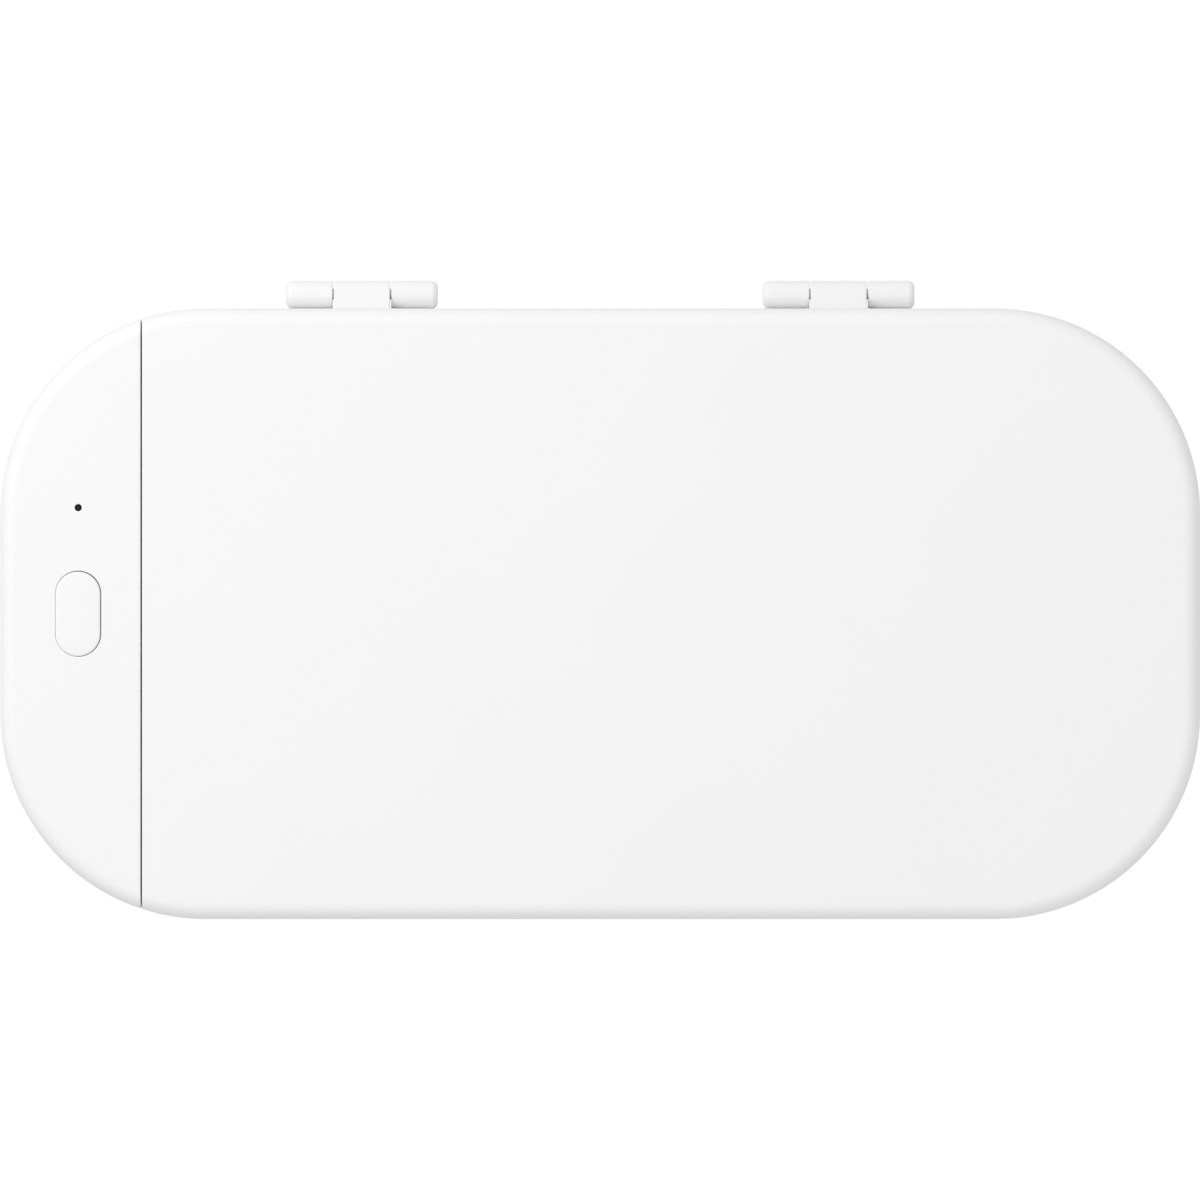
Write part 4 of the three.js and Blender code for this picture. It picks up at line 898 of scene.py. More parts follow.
class Recipe(Graph):
    # a tree with named inputs, run once on some points; its result is kept as a plain mesh
    def __init__(self, name, inputs):
        super().__init__(bpy.data.node_groups.new(name, "GeometryNodeTree"))
        for side in ("INPUT", "OUTPUT"):
            self.tree.interface.new_socket("Geometry", in_out=side, socket_type="NodeSocketGeometry")
        for label, kind in {**inputs, "Finish": "Material"}.items():
            self.tree.interface.new_socket(label, in_out="INPUT", socket_type="NodeSocket" + kind)
        self.start = self.tree.nodes.new("NodeGroupInput")

    def given(self, label):
        return Wire(self, self.start.outputs[label])

    def shape(self, kind, sockets=None, out=0, **settings):
        return self.node(kind, sockets, out, "GeometryNode", **settings)

    def vector(self, x=0.0, y=0.0, z=0.0):
        return self.node("CombineXYZ", {0: x, 1: y, 2: z})

    def moved(self, shape, x=0.0, y=0.0, z=0.0):
        return self.shape("Transform", {"Geometry": shape, "Translation": self.vector(x, y, z)})

    def joined(self, operation, sockets):
        return self.shape("MeshBoolean", sockets, operation=operation, solver="MANIFOLD")

    def close(self, points, shape, turn):
        # the shape on each point
        self.finished(self.shape("InstanceOnPoints", {"Points": points, "Instance": shape, "Rotation": turn}))

    def twist(self):
        # the same random turn for each copy at every run
        share = self.node("RandomValue", {2: 0.0, 3: 1.0, "Seed": self.given("Seed")}, 1, "FunctionNode",
                          data_type="FLOAT")
        return self.vector(self.given("Turned Over"), 0.0, share * self.given("Twist"))

    def finished(self, shape):
        real = self.shape("RealizeInstances", {"Geometry": shape})
        done = self.shape("SetMaterial", {"Geometry": real, "Material": self.given("Finish")})
        self.node("GroupOutput", {"Geometry": done}, family="Node")

    def run(self, slot, points, values, edges=()):
        holder = newObject("holder", meshOf(points, edges=edges))
        modifier = holder.modifiers.new("recipe", "NODES")
        modifier.node_group = self.tree
        values = {**values, "Finish": finishes[slot]}
        for item in self.tree.interface.items_tree:
            if item.in_out == "INPUT" and item.name in values:
                modifier[item.identifier] = values[item.name]
        return baked(holder)


turnInputs = {"Turned Over": "Float", "Twist": "Float", "Seed": "Int"}
boardScrew = {
    "Head Radius": 2.0, "Head Height": 1.2, "Head Dome": 0.35, "Shank Radius": 1.0, "Shank Length": 5.0,
    "Tip Length": 0.9, "Thread Pitch": 0.75, "Thread Depth": 0.16,
    "Recess Length": 2.2, "Recess Width": 0.45, "Recess Depth": 0.7,
}
screwKinds = {
    "board": boardScrew,
    "liner": {**boardScrew, "Head Height": 1.0, "Head Dome": 0.25, "Recess Depth": 0.6},
    "case": {
        "Head Radius": 2.3, "Head Height": 1.6, "Head Dome": 0.45, "Shank Radius": 1.2, "Shank Length": 8.5,
        "Tip Length": 1.2, "Thread Pitch": 0.9, "Thread Depth": 0.2,
        "Recess Length": 2.6, "Recess Width": 0.55, "Recess Depth": 0.9,
    },
}
screwMesh = {
    "headSides": 32, "headRings": 5, "shankSides": 20, "tipShare": 0.3, "turnSteps": 16, "ridgeSides": 4,
    "plainStart": 0.8, "headOverlap": 0.3, "tipOverlap": 0.01,
}


def screwRecipe():
    # a domed head that faces down, with a cross recess, over a threaded and pointed shank
    recipe = Recipe("screws", {**dict.fromkeys(boardScrew, "Float"), **turnInputs})
    given, shape, moved, overlap = recipe.given, recipe.shape, recipe.moved, screwMesh["tipOverlap"]
    headRadius, headHeight, depth = given("Head Radius"), given("Head Height"), given("Thread Depth")
    head = shape("MeshCylinder", {
        "Vertices": screwMesh["headSides"], "Fill Segments": screwMesh["headRings"], "Radius": headRadius,
        "Depth": headHeight}, fill_type="TRIANGLE_FAN")
    place = shape("InputPosition")
    x, y, z = (recipe.node("SeparateXYZ", {0: place}, axis) for axis in range(3))
    outward = (x * x + y * y) / (headRadius * headRadius)
    head = shape("SetPosition", {
        "Geometry": head, "Selection": z < 0.0, "Offset": recipe.vector(z=outward * given("Head Dome"))})
    head = moved(head, z=-0.5 * headHeight)
    core = given("Shank Radius") - depth
    straight = given("Shank Length") - given("Tip Length")
    shank = shape("MeshCylinder", {
        "Vertices": screwMesh["shankSides"], "Radius": core, "Depth": straight + screwMesh["headOverlap"]})
    shank = moved(shank, z=(straight - screwMesh["headOverlap"]) * 0.5)
    tip = shape("MeshCone", {
        "Vertices": screwMesh["shankSides"], "Radius Top": core * screwMesh["tipShare"],
        "Radius Bottom": core, "Depth": given("Tip Length") + overlap})
    tip = moved(tip, z=straight - overlap)
    threaded = straight - screwMesh["plainStart"]
    helix = shape("CurveSpiral", {
        "Resolution": screwMesh["turnSteps"], "Rotations": threaded / given("Thread Pitch"),
        "Start Radius": core, "End Radius": core, "Height": threaded})
    helix = shape("SetCurveNormal", {"Curve": helix}, mode="Z_UP")
    ridge = shape("CurvePrimitiveCircle", {"Resolution": screwMesh["ridgeSides"], "Radius": depth})
    thread = shape("CurveToMesh", {"Curve": helix, "Profile Curve": ridge, "Fill Caps": True})
    thread = moved(thread, z=screwMesh["plainStart"])
    length, width = given("Recess Length"), given("Recess Width")
    blades = [moved(shape("MeshCube", {"Size": recipe.vector(*sides, 2.0 * given("Recess Depth"))}),
                    z=-1.0 * headHeight) for sides in ((length, width), (width, length))]
    body = recipe.joined("UNION", {"Mesh 2": [head, shank, tip, thread]})
    screw = recipe.joined("DIFFERENCE", {"Mesh 2": blades, "Mesh 1": body})
    recipe.close(given("Geometry"), screw, recipe.twist())
    return recipe


def copiesRecipe():
    # one shape at each point
    recipe = Recipe("copies", {"Shape": "Object", **turnInputs})
    shape = recipe.shape("ObjectInfo", {"Object": recipe.given("Shape")}, "Geometry")
    recipe.close(recipe.given("Geometry"), shape, recipe.twist())
    return recipe


def gridRecipe():
    # small blocks in columns and rows, round a middle
    recipe = Recipe("blockGrid", {
        "Columns": "Int", "Rows": "Int", "Column Pitch": "Float", "Row Pitch": "Float",
        "Block Size": "Vector", "Middle": "Vector",
    })
    given, shape = recipe.given, recipe.shape
    grid = shape("MeshGrid", {
        "Vertices X": given("Columns"), "Vertices Y": given("Rows"),
        "Size X": (given("Columns") - 1.0) * given("Column Pitch"),
        "Size Y": (given("Rows") - 1.0) * given("Row Pitch")})
    block = shape("MeshCube", {"Size": given("Block Size")})
    points = shape("Transform", {"Geometry": grid, "Translation": given("Middle")})
    recipe.close(points, block, recipe.vector())
    return recipe


def leadRecipe():
    # a round lead on a smooth curve through the points
    recipe = Recipe("roundLead", {"Radius": "Float", "Sides": "Int", "Samples": "Int"})
    given, shape = recipe.given, recipe.shape
    path = shape("MeshToCurve", {"Mesh": given("Geometry")})
    path = shape("CurveSplineType", {"Curve": path}, spline_type="BEZIER")
    path = shape("CurveSetHandles", {"Curve": path}, handle_type="AUTO")
    path = shape("ResampleCurve", {"Curve": path, "Count": given("Samples")})
    section = shape("CurvePrimitiveCircle", {"Resolution": given("Sides"), "Radius": given("Radius")})
    recipe.finished(shape("CurveToMesh", {"Curve": path, "Profile Curve": section, "Fill Caps": True}))
    return recipe


screws, copies, blockGrid, roundLead = screwRecipe(), copiesRecipe(), gridRecipe(), leadRecipe()


def screwsAt(kind, names, headUp, seed):
    # set on the seat that each head lies on
    height = screwKinds[kind]["Head Height"]
    seats = [(*node.middle.xy, node.high.z - height if headUp else node.low.z + height)
             for node in map(Node, names)]
    return screws.run("steel", seats, {**screwKinds[kind], "Turned Over": math.pi if headUp else 0.0,
                                       "Twist": 2 * math.pi, "Seed": seed})


def copiesOf(mesh, points, slot, turnedOver=0.0):
    shape = newObject("shape", mesh)
    made = copies.run(slot, points, {"Shape": shape, "Turned Over": turnedOver, "Twist": 0.0, "Seed": 1})
    bpy.data.objects.remove(shape)
    return made


def blocks(slot, counts, pitches, size, middle):
    return blockGrid.run(slot, [], {
        "Columns": counts[0], "Rows": counts[1], "Column Pitch": pitches[0], "Row Pitch": pitches[1],
        "Block Size": size, "Middle": tuple(middle)})


# Feet, pins and magnets
fastener = {
    "footHollow": 0.35, "footRing": 4.0, "footRound": 0.5, "footTopEdge": 0.1, "pinRound": 0.3,
    "magnetRound": 0.25, "plateRound": 0.2, "dimpleRadius": 0.9, "dimpleDepth": 0.3,
}


def onNodes(names, top=False):
    # the middle of the underside, or of the top, of each node
    return [(*node.middle.xy, (node.high if top else node.low).z) for node in map(Node, names)]


def disc(name, edge):
    return rod(Node(name).radius, (0, 0), 0, Node(name).size.z, edge, edge)


def recess(radius, place, top, depth):
    return rod(radius, place, top - depth, top + overrun)


def feet():
    # rubber pucks, each on a ring round a shallow hollow
    radius, height, topEdge = Node(footNames[0]).radius, Node(footNames[0]).size.z, fastener["footTopEdge"]
    ring, hollow, edge = fastener["footRing"], fastener["footHollow"], fastener["footRound"]
    profile = [(0, hollow), (ring - edge, hollow), (ring, 0)]
    profile += [(radius - inward, z) for inward, z in rounding(edge, 0, 1, case["edgeSteps"])]
    profile += [(radius, height - topEdge), (radius - topEdge, height), (0, height)]
    return copiesOf(turned(profile), onNodes(footNames), "foot_rubber")


def hingePins():
    edge = fastener["pinRound"]
    pins = [barrel(pin.size.z / 2, pin.low.x, pin.high.x, edge, edge) for pin in map(Node, pinNames)]
    return combine(pins[0], pins[1:])


def catchPlates():
    # steel discs with a punched dimple on their underside
    dimple = rod(fastener["dimpleRadius"], (0, 0), -overrun, fastener["dimpleDepth"])
    shape = combine(disc(catchNames[0], fastener["plateRound"]), cuts=[dimple])
    return copiesOf(shape, onNodes(catchNames), "steel")


def magnets(names):
    return copiesOf(disc(names[0], fastener["magnetRound"]), onNodes(names), "magnet_plating")


# Lamps: a ceramic body with a round well, and a quartz dome over the die
lamp = {
    "bodyHeight": 0.9, "bodyRound": 0.1, "well": 0.15, "wellRadius": 1.5, "indicatorWellRadius": 1.2,
    "domeRadius": 1.3, "domeSides": 32, "die": 0.9, "dieRise": 0.12, "dieSink": 0.05, "dieRound": 0.02,
}
lowerLamps, lidLamps = each("lower_uv_led", 1, 2, 3, 4), each("lid_uv_led", 1, 2, 3, 4)
lampNode, wellFloor = Node(lowerLamps[0]), lamp["bodyHeight"] - lamp["well"]


def lampShape(width, height, wellRadius):
    body = softened(block((0, 0), (width, width), 0, height), lamp["bodyRound"])
    return combine(body, cuts=[recess(wellRadius, (0, 0), height, lamp["well"])])


def lampDome():
    rim, base = lamp["domeRadius"], lamp["bodyHeight"]
    top = dome(rim, base, lampNode.size.z - base)
    return turned([(0, wellFloor), (rim, wellFloor), *top], sides=lamp["domeSides"])


def lampDie():
    size = (lamp["die"], lamp["die"])
    return softened(block((0, 0), size, wellFloor - lamp["dieSink"], wellFloor + lamp["dieRise"]),
                    lamp["dieRound"], 1)


def indicatorLamp():
    shape = lampShape(indicator.size.x, indicator.size.z, lamp["indicatorWellRadius"])
    return copiesOf(shape, onNodes(["indicator_led"]), "lamp_body")


# Controller chip and power inductor
chip = {"edge": 0.12, "leg": (0.3, 0.3, 0.2), "legPitch": 0.65, "legs": 8,
        "dotRadius": 0.35, "dotInset": 1.0, "dotDepth": 0.1}
inductor = {"cornerRadius": 0.7, "lowRound": 0.1, "topRound": 0.3, "recessRadius": 2.6,
            "recessDepth": 0.12, "end": (0.24, 3.0, 1.6)}
chipNode, inductorNode = Node("controller_chip"), Node("power_inductor")


def chipBody():
    dot = [part + chip["dotInset"] for part in chipNode.low.xy]
    return combine(between(chipNode.low, chipNode.high, chip["edge"]),
                   cuts=[recess(chip["dotRadius"], dot, chipNode.high.z, chip["dotDepth"])])


def chipLegs():
    size, across, pitch, count = chip["leg"], chipNode.size.x, chip["legPitch"], chip["legs"]
    place = (*chipNode.middle.xy, chipNode.low.z + size[2] / 2)
    ends = blocks("steel", (count, 2), (pitch, across), size, place)
    return combine(blocks("steel", (2, count), (across, pitch), size, place), [ends])


def inductorBody():
    # a pressed block with rounded corners, and a recess on top where its coil is
    node, top = inductorNode, inductorNode.high.z
    body = slab(plate(node.middle, node.size, inductor["cornerRadius"]), node.low.z, top,
                inductor["lowRound"], inductor["topRound"])
    return combine(body, cuts=[recess(inductor["recessRadius"], node.middle, top, inductor["recessDepth"])])


def inductorEnds():
    size = inductor["end"]
    return blocks("steel", (2, 1), (inductorNode.size.x, 1.0), size,
                  (*inductorNode.middle.xy, inductorNode.low.z + size[2] / 2))


# Capacitor
can = {
    "lift": 0.3, "footEdge": 0.2, "crimpHeight": 2.1, "crimpHalf": 0.6, "crimpDepth": 0.25, "crimpSteps": 6,
    "topRound": 0.5, "ventReach": 0.75, "ventWidth": 0.25, "ventDepth": 0.15,
    "baseSize": (6.2, 6.2), "baseHeight": 0.7, "baseCorner": 0.5, "baseLowRound": 0.05,
    "baseTopRound": 0.1, "baseHole": 3.0,
}
canNode = Node("capacitor")


def capacitorCan():
    # an aluminium can, crimped near its foot, with a vent scored in its top
    radius, high, steps, half = canNode.radius, canNode.high.z, can["crimpSteps"], can["crimpHalf"]
    low, crimp = canNode.low.z + can["lift"], canNode.low.z + can["crimpHeight"]
    profile = [(0, low), (radius - can["footEdge"], low), (radius, low + can["footEdge"])]
    profile += [(radius - can["crimpDepth"] * math.sin(math.pi * step / steps),
                 crimp + half * (2 * step / steps - 1)) for step in range(steps + 1)]
    profile += [(radius - inward, z)
                for inward, z in rounding(can["topRound"], high, -1, case["edgeSteps"])[::-1]]
    vent = (2 * radius * can["ventReach"], can["ventWidth"])
    return combine(turned([*profile, (0, high)], canNode.middle),
                   cuts=[block(canNode.middle, size, high - can["ventDepth"], high + overrun)
                         for size in (vent, vent[::-1])])


def capacitorBase():
    place, low = canNode.middle, canNode.low.z
    body = slab(plate(place, can["baseSize"], can["baseCorner"]), low, low + can["baseHeight"],
                can["baseLowRound"], can["baseTopRound"])
    return combine(body, cuts=[rod(can["baseHole"], place, low + can["lift"], canNode.high.z)])


# Tactile switch
switch = {
    "edge": 0.12, "plateThickness": 0.3, "plateInset": 0.1, "plateCorner": 0.5, "plateRound": 0.06,
    "plungerGap": 0.15, "plungerLowRound": 0.1, "plungerRound": 0.25,
    "rivetInset": 0.75, "rivetRadius": 0.4, "rivetGap": 0.12, "rivetRoot": 0.1, "rivetDrop": 0.02,
    "dimpleDepth": 0.08, "rivetSides": 20,
}
switchNode, plungerNode = Node("tact_switch"), Node("switch_plunger")
switchUnder = switchNode.high.z - switch["plateThickness"]


def switchBody():
    return between(switchNode.low, (*switchNode.high.xy, switchUnder), switch["edge"])


def switchPlate():
    # the metal plate that holds the switch together, with a rivet near each corner
    middle, high, sides = switchNode.middle, switchNode.high.z, switch["rivetSides"]
    outline = drawnIn(plate(middle, switchNode.size, switch["plateCorner"]), switch["plateInset"])
    reach = switchNode.radius - switch["rivetInset"]
    spots = [(middle.x + sideX * reach, middle.y + sideY * reach) for sideX, sideY in corners]
    cuts = rods(switch["rivetRadius"] + switch["rivetGap"], spots, high - switch["dimpleDepth"],
                high + overrun, 0, 0, sides)
    well = plungerNode.radius + switch["plungerGap"]
    cuts.append(rod(well, middle, switchUnder - overrun, high + overrun))
    rivets = rods(switch["rivetRadius"], spots, high - switch["rivetRoot"], high - switch["rivetDrop"],
                  0, 0, sides)
    return combine(combine(slab(outline, switchUnder, high, 0, switch["plateRound"]), cuts=cuts), rivets)


def switchPlunger():
    return rod(plungerNode.radius, plungerNode.middle, plungerNode.low.z, plungerNode.high.z,
               switch["plungerLowRound"], switch["plungerRound"])


# Charging socket
socket = {
    "wall": 0.35, "lipRound": 0.12, "mouthDepth": 6.2, "sides": 12,
    "tongue": (6.6, 0.7), "tongueSetback": 0.8, "tongueRoot": 0.1, "tongueRound": 0.15,
    "contact": (3.6, 0.26, 0.08), "contactPitch": 0.5, "contacts": 12, "contactPlace": 2.4,
}
socketLeft, socketZ = socketNode.low.x, socketNode.middle.z
tongueLeft, mouthEnd = socketLeft + socket["tongueSetback"], socketLeft + socket["mouthDepth"]


def socketBar(margin, x0, x1, x0Round=0.0):
    # a stadium bar along x, round the middle of the socket
    width, height = socketNode.size.y + 2 * margin, socketNode.size.z + 2 * margin
    bar = slab(plate((0, 0), (height, width), height / 2, socket["sides"]), x0, x1, x0Round)
    return placed(bar, (0, 0, socketZ), 1, "Y")


def socketShell():
    return combine(socketBar(0, socketLeft, socketNode.high.x, socket["lipRound"]),
                   cuts=[socketBar(-socket["wall"], socketLeft - overrun, mouthEnd)])


def socketTongue():
    halfWidth, halfHeight = (length / 2 for length in socket["tongue"])
    return between((tongueLeft, -halfWidth, socketZ - halfHeight),
                   (mouthEnd + socket["tongueRoot"], halfWidth, socketZ + halfHeight), socket["tongueRound"])


def socketContacts():
    counts, pitches, x = (1, socket["contacts"]), (1.0, socket["contactPitch"]), socket["contactPlace"]
    rows = [blocks("magnet_plating", counts, pitches, socket["contact"],
                   (tongueLeft + x, 0.0, socketZ + side * socket["tongue"][1] / 2)) for side in (-1, 1)]
    return combine(rows[0], rows[1:])


# Hall sensor
hall = {"rise": 1.6, "chamfer": 0.45, "edge": 0.08, "leg": 0.5, "legPitch": 1.27, "legs": 3}
hallNode, hallTop = Node("hall_sensor"), Node("sensor_magnet").middle.z + hall["rise"]


def hallBody():
    # flat towards the lid's magnet, with its other upright edges chamfered
    low, high, cutIn = hallNode.low, hallNode.high, hall["chamfer"]
    outline = [(low.x, low.y + cutIn), (low.x + cutIn, low.y), (high.x, low.y), (high.x, high.y),
               (low.x + cutIn, high.y), (low.x, high.y - cutIn)]
    return softened(loft([[(x, y, z) for x, y in outline] for z in (low.z, hallTop)]), hall["edge"])


def hallLegs():
    # they start inside the body
    leg, length = hall["leg"], hallNode.high.z - hallTop + hall["leg"]
    return blocks("steel", (1, hall["legs"]), (1.0, hall["legPitch"]), (leg, leg, length),
                  (hallNode.middle.x, 0.0, hallNode.high.z - length / 2))


# Connector of the lid's ribbon
connector = {
    "edge": 0.3, "slot": (8.6, 0.9), "slotDepth": 1.6, "notchPlace": 5.6, "notchWidth": 1.2,
    "notchWall": 1.4, "notchFloor": 1.2, "pin": (0.4, 0.5, 0.8), "pinPlace": (0.15, 1.2), "pins": 8,
}
connectorNode = Node("flex_connector")


def connectorBody():
    # a socket for the flat lead, with a slot in its top
    low, high = connectorNode.low, connectorNode.high
    notch = (connector["notchWidth"], connectorNode.size.y - 2 * connector["notchWall"])
    cuts = [block((side * connector["notchPlace"], connectorNode.middle.y), notch,
                  low.z + connector["notchFloor"], high.z + overrun) for side in (-1, 1)]
    cuts.append(block((0, flexY), connector["slot"], high.z - connector["slotDepth"], high.z + overrun))
    return combine(between(low, high, connector["edge"]), cuts=cuts)


def connectorPins():
    along, height = connector["pinPlace"]
    return blocks("steel", (connector["pins"], 1), (1.0, 1.0), connector["pin"],
                  (0.0, connectorNode.low.y + along, connectorNode.low.z + height))


# Resistors
resistor = {
    "size": (1.6, 0.8), "height": 0.45, "edge": 0.04, "cap": 0.36, "capProud": 0.03, "capEdge": 0.05,
    "row": (2.6, 1.9), "fromLamp": 5.0,
    "groups": ((-98.6, 14.6, 3, 4), (-90.6, 5.4, 1, 5), (-102.6, -11.5, 1, 3)),
    "indicatorSpots": ((-95.7, 12.2), (-95.7, 14.1)),
}


def resistorSpots():
    # small resistors in rows on the main board, by the indicator lamp, and beside the lower lamps
    row = resistor["row"]
    spots = [(x + column * row[0], y + line * row[1], mainBoard.high.z)
             for x, y, columns, lines in resistor["groups"]
             for column in range(columns) for line in range(lines)]
    spots += [(*spot, buttonBoard.high.z) for spot in resistor["indicatorSpots"]]
    return spots + besideLamps(lowerLamps, lowerBoard.high.z)


def besideLamps(names, z):
    return [(place.x + resistor["fromLamp"], 0, z) for place in middles(names)]


def resistorBody():
    return softened(block((0, 0), resistor["size"], 0, resistor["height"]), resistor["edge"])


def resistorEnds():
    # plated caps, a little larger than the body between them
    (length, width), proud, size = resistor["size"], resistor["capProud"], resistor["cap"]
    reach = length / 2 + proud - size / 2
    caps = [softened(block((side * reach, 0), (size, width + 2 * proud), 0, resistor["height"] + proud),
                     resistor["capEdge"]) for side in (-1, 1)]
    return combine(caps[0], caps[1:])


# Leads
buttonRibbonNode, lowerRibbonNode = Node("button_ribbon"), Node("lower_led_ribbon")
ribbonX, ribbonY = buttonRibbonNode.middle.xy
clamp = {"size": (1.7, 9.6), "height": 1.7, "edge": 0.15}


def flatLead(path, put):
    # a flat lead along a path in an upright plane; put places distance along, across and height
    half, side = leads["flatThickness"] / 2, leads["flatWidth"] / 2
    rings = []
    for index, (along, z) in enumerate(path):
        before, after = path[max(index - 1, 0)], path[min(index + 1, len(path) - 1)]
        way = Vector((after[0] - before[0], after[1] - before[1])).normalized()
        rings.append([put(along - turn * half * way.y, across * side, z + turn * half * way.x)
                      for across, turn in ((-1, -1), (1, -1), (1, 1), (-1, 1))])
    mesh = loft(rings)
    reach = mesh.attributes.new("across", "FLOAT", "POINT")
    reach.data.foreach_set("value", [across * side for _ in path for across in (-1, 1, 1, -1)])
    return mesh


def quarterBend(along, z, radius, start):
    # the points of a quarter bend, from a number of quarter turns on
    return arc((along, z), radius, start * quarterTurn, (start + 1) * quarterTurn, leads["bendSteps"])


def stretch(start, end, step):
    # evenly spaced points from a start to just before an end
    count = max(round((end - start) / step), 1)
    return [(flexY, start + (end - start) * share / count) for share in range(count)]


def buttonRibbon():
    path = [(ribbonX, buttonRibbonNode.low.z), (ribbonX, buttonRibbonNode.high.z)]
    return flatLead(path, lambda along, across, z: (along, ribbonY + across, z))


def lowerRibbon():
    low, high = lowerRibbonNode.low, lowerRibbonNode.high
    z, radius = low.z + leads["flatThickness"] / 2, leads["flatBend"]
    path = [(ribbonX, high.z), *quarterBend(ribbonX + radius, z + radius, radius, 2), (high.x, z)]
    return flatLead(path, lambda along, across, z: (along, across, z))


def lidRibbon():
    # its stretch between the two flanges, where the real lead bends as the lid opens, has the most points
    low, step, radius = flexNode.low, leads["flatStep"], leads["flexBend"]
    z = flexNode.high.z - leads["flatThickness"] / 2
    path = [(flexY, low.z - connector["slotDepth"] / 2), *stretch(low.z, flangeTop, step)]
    path += stretch(flangeTop, linerFlangeUnder, step / leads["hingeShare"])
    path += stretch(linerFlangeUnder, z - radius, step)
    path += [*quarterBend(flexY - radius, z - radius, radius, 0), (low.y, z)]
    return flatLead(path, lambda along, across, z: (-across, along, z))


def feedLead():
    radius, bend = leads["feedRadius"], leads["feedBend"]
    lane = floorTop + radius + flange["gap"]
    points = [(ribbonX, feedY, mainBoard.low.z)]
    points += [(along, feedY, z) for along, z in quarterBend(ribbonX + bend, lane + bend, bend, 2)]
    points += [(coverRight - (bend + coverRight) * shareX, feedY + (flexY - feedY) * shareY, lane)
               for shareX, shareY in leads["feedLaneShares"]]
    points += [(along, flexY, z) for along, z in quarterBend(-bend, lane + bend, bend, 3)]
    points.append((0, flexY, connectorNode.low.z))
    edges = [(index, index + 1) for index in range(len(points) - 1)]
    return roundLead.run("cable_jacket", points, {
        "Radius": radius, "Sides": leads["feedSides"], "Samples": leads["feedSamples"]}, edges)


def leadClamps():
    # the small sockets that the flat leads go into, on the case's boards
    half = clamp["height"] / 2
    shape = softened(block((0, 0), clamp["size"], -half, half), clamp["edge"])
    ends = ((ribbonY, mainBoard.high.z + half), (ribbonY, buttonBoard.low.z - half),
            (0, mainBoard.low.z - half))
    spots = [(ribbonX, *end) for end in ends] + [(lowerBoard.low.x + half, 0, lowerBoard.high.z)]
    return copiesOf(shape, spots, "connector_body")


# Pieces
look = {"doubles": 0.001 * mm, "sharp": math.radians(32), "leadSharp": math.radians(50)}


def dressed(name, mesh, slot, sharp):
    # a piece in the frame, smooth between sharp edges, with large flat faces kept flat beside small rounds
    mesh.transform(toFrame)
    mesh.materials.clear()
    mesh.materials.append(finishes[slot])
    work = bmesh.new()
    work.from_mesh(mesh)
    bmesh.ops.remove_doubles(work, verts=work.verts[:], dist=look["doubles"])
    for face in work.faces:
        face.smooth = True
    for edge in work.edges:
        edge.smooth = edge.is_manifold and edge.calc_face_angle(math.pi) < sharp
    work.to_mesh(mesh)
    work.free()
    holder = newObject("holder", mesh)
    weighted = holder.modifiers.new("weighted", "WEIGHTED_NORMAL")
    weighted.keep_sharp = True
    return newObject(name, baked(holder))


def addPieces(stage, rows):
    # finished pieces, each riding on its body in place of its CAD nodes
    for name, body, slot, mesh, *nodes in rows:
        piece = dressed(name, mesh, slot, look["sharp"])
        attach(piece, body)
        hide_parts(*nodes)
    print(stage, "done")


addPieces("shells", [
    ("lidShell", "lid", "white_shell", lidShell(), "lid_shell"),
    ("controlCover", "case", "white_shell", controlCover(), "control_cover"),
    ("baseShell", "case", "white_shell", baseShell(), "base_shell"),
    ("buttonCap", "button", "white_button", buttonCap(), "button_cap"),
    ("indicatorPipe", "case", "smoked_lens", lightPipe(), "light_pipe"),
])
addPieces("chamber", [
    ("chamberTray", "case", "mirror_coat", chamberTray(), "chamber_tray"),
    ("lidLiner", "lid", "mirror_coat", lidLiner(), "lid_liner"),
    ("lowerWindow", "case", "quartz", quartzWindow("lower_window"), "lower_window"),
    ("lidWindow", "lid", "quartz", quartzWindow("lid_window"), "lid_window"),
    ("phoneRestFront", "case", "clear_rail", phoneRest("phone_rest_front"), "phone_rest_front"),
    ("phoneRestRear", "case", "clear_rail", phoneRest("phone_rest_rear"), "phone_rest_rear"),
])
addPieces("boards", [
    ("lowerLampBoard", "case", "white_board", lampBoard(lowerBoard), "lower_led_board"),
    ("lidLampBoard", "lid", "white_board", lampBoard(lidBoard), "lid_led_board"),
    ("mainBoard", "case", "green_board", controlBoard(mainBoard, mainBoardScrews), "main_board"),
    ("buttonBoard", "case", "green_board", controlBoard(buttonBoard, buttonBoardScrews), "button_board"),
])
addPieces("fasteners", [
    ("caseScrews", "case", "steel", screwsAt("case", caseScrewNames, False, 3), *caseScrewNames),
    ("buttonBoardScrews", "case", "steel", screwsAt("board", buttonScrewNames, False, 5), *buttonScrewNames),
    ("mainBoardScrews", "case", "steel", screwsAt("board", mainScrewNames, True, 7), *mainScrewNames),
    ("linerScrews", "lid", "steel", screwsAt("liner", linerScrewNames, False, 9), *linerScrewNames),
    ("feet", "case", "foot_rubber", feet(), *footNames),
    ("hingePins", "case", "steel", hingePins(), *pinNames),
    ("catchPlates", "case", "steel", catchPlates(), *catchNames),
    ("latchMagnets", "lid", "magnet_plating", magnets(latchNames), *latchNames),
    ("sensorMagnet", "lid", "magnet_plating", magnets(["sensor_magnet"]), "sensor_magnet"),
])


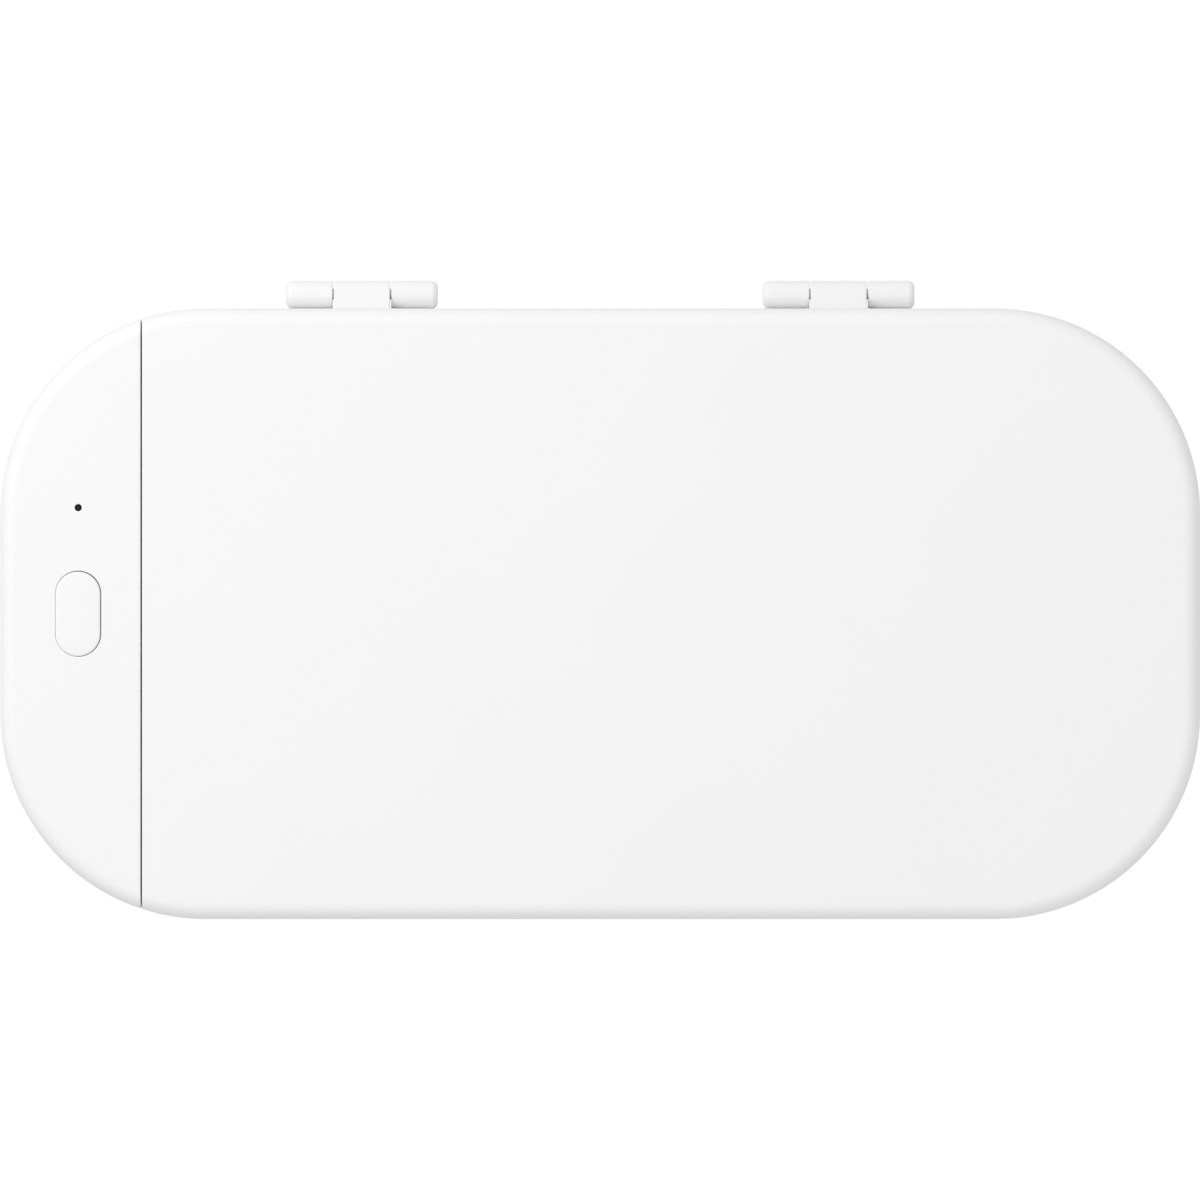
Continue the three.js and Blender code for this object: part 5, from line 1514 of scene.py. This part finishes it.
def lampPieces(label, body, names, over, resistors):
    spots = onNodes(names, top=over > 0)
    shape = lampShape(lampNode.size.x, lamp["bodyHeight"], lamp["wellRadius"])
    rows = (("Lamps", "lamp_body", shape, spots, names), ("LampDomes", "quartz", lampDome(), spots, []),
            ("LampDies", "smoked_lens", lampDie(), spots, []),
            ("Resistors", "black_part", resistorBody(), resistors, []),
            ("ResistorEnds", "steel", resistorEnds(), resistors, []))
    return [(label + name, body, slot, copiesOf(mesh, places, slot, over), *nodes)
            for name, slot, mesh, places, nodes in rows]


addPieces("lamps", [
    *lampPieces("lower", "case", lowerLamps, 0.0, resistorSpots()),
    *lampPieces("lid", "lid", lidLamps, math.pi, besideLamps(lidLamps, lidBoard.low.z)),
    ("indicatorLamp", "case", "lamp_body", indicatorLamp(), "indicator_led"),
])
addPieces("small parts", [
    ("chipBody", "case", "black_part", chipBody(), "controller_chip"),
    ("chipLegs", "case", "steel", chipLegs()),
    ("inductorBody", "case", "black_part", inductorBody(), "power_inductor"),
    ("inductorEnds", "case", "steel", inductorEnds()),
    ("capacitorCan", "case", "capacitor_can", capacitorCan(), "capacitor"),
    ("capacitorBase", "case", "black_part", capacitorBase()),
    ("switchBody", "case", "black_part", switchBody(), "tact_switch"),
    ("switchPlate", "case", "steel", switchPlate()),
    ("socketShell", "case", "socket_steel", socketShell(), "usb_c_socket"),
    ("socketTongue", "case", "black_part", socketTongue()),
    ("socketContacts", "case", "magnet_plating", socketContacts()),
    ("hallBody", "case", "black_part", hallBody(), "hall_sensor"),
    ("hallLegs", "case", "steel", hallLegs()),
    ("flexSocket", "case", "connector_body", connectorBody(), "flex_connector"),
    ("flexSocketPins", "case", "steel", connectorPins()),
    ("leadClamps", "case", "connector_body", leadClamps()),
    ("buttonRibbon", "case", "flat_lead", buttonRibbon(), "button_ribbon"),
    ("lowerRibbon", "case", "flat_lead", lowerRibbon(), "lower_led_ribbon"),
    ("feedLead", "case", "cable_jacket", feedLead(), "lid_feed_cable"),
    ("switchPlunger", "button", "black_part", switchPlunger(), "switch_plunger"),
])

# The lid's ribbon runs from the case past the tray's flange to the liner's flange in the lid, and is left
# fixed in the frame
ribbonPiece = dressed("lidRibbon", lidRibbon(), "flat_lead", look["leadSharp"])
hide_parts("lid_flex_cable")
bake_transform(ribbonPiece)
print("leads done")


# Floor, light and camera
room = {
    "floorSize": 6.0, "floorColour": (0.6, 0.6, 0.6), "floorShade": 0.99, "floorGrain": 0.4,
    "floorGlow": 0.86,  # the share of the floor's own shading that the camera's white takes over
    "glow": 1.11, "white": (1, 1, 1, 1),
    "skyLow": 0.61, "skyHigh": 0.985, "skyColour": (0.9995, 0.998, 1.0),
    "keyPower": 1.57, "keySize": 0.36, "keyPlace": (-0.44, 0.4, 0.49), "keyColour": (1.0, 0.998, 0.994),
}
view = {
    "distance": 6.0, "aimHeight": 0.042, "middle": (-0.00005, -0.00008), "sensor": 36.0, "farEnd": 60,
    "pictureWidth": 0.22009,  # what the photograph's width spans at the height of the lid's edge, in metres
}


def pictureRays(graph):
    # 1 for what the camera sees, also in metal or through glass
    seen, inMetal, throughGlass = (graph.node("LightPath", out=f"Is {kind} Ray")
                                   for kind in ("Camera", "Glossy", "Transmission"))
    return seen.math("MAXIMUM", inMetal).math("MAXIMUM", throughGlass)


def floorFinish():
    finish = Finish("floor")
    colour = finish.mix(finish.noise(room["floorGrain"]), room["floorColour"],
                        dimmed(room["floorColour"], room["floorShade"]))
    paper = finish.node("BsdfDiffuse", {"Color": colour})
    white = finish.node("Emission", {"Color": room["white"], "Strength": room["glow"]})
    mixed = finish.node("MixShader", {0: pictureRays(finish) * room["floorGlow"], 1: paper, 2: white})
    finish.node("OutputMaterial", {"Surface": mixed})
    return finish.material


def studioSky():
    # brighter straight above than at the sides, and plain white to the camera
    world = bpy.data.worlds.new("studio")
    world.use_nodes = True
    sky = Graph(world.node_tree)
    sky.tree.nodes.clear()
    upward = sky.node("SeparateXYZ", {0: sky.node("TexCoord", out="Generated")}, "Z").math("MAXIMUM")
    plainSky = sky.node("Background", {
        "Color": (*room["skyColour"], 1),
        "Strength": room["skyLow"] + (room["skyHigh"] - room["skyLow"]) * upward})
    whiteSky = sky.node("Background", {"Color": room["white"], "Strength": 1.0})
    both = sky.node("MixShader", {0: pictureRays(sky), 1: plainSky, 2: whiteSky})
    sky.node("OutputWorld", {"Surface": both})
    return world


floorHalf = room["floorSize"] / 2
floor = newObject("floor", meshOf([(x * floorHalf, y * floorHalf, 0) for x, y in corners], [(0, 1, 2, 3)]))
floor.data.materials.append(floorFinish())
bpy.context.scene.world = studioSky()

key = bpy.data.lights.new("key", "AREA")
key.shape, key.size = "DISK", room["keySize"]
key.energy, key.color = room["keyPower"], room["keyColour"]
keyLight = newObject("key", key)
keyLight.location = room["keyPlace"]
aim = Vector((0, 0, lidTop * mm)) - keyLight.location
keyLight.rotation_euler = aim.to_track_quat("-Z", "Y").to_euler()

cameraData = bpy.data.cameras.new("camera")
cameraData.sensor_fit, cameraData.sensor_width = "HORIZONTAL", view["sensor"]
cameraData.lens = view["sensor"] * view["distance"] / view["pictureWidth"]
cameraData.clip_end = view["farEnd"]
camera = newObject("camera", cameraData)
camera.location = (*view["middle"], view["aimHeight"] + view["distance"])
bpy.context.scene.camera = camera
bpy.context.scene.view_settings.view_transform = "Standard"
print("room done")
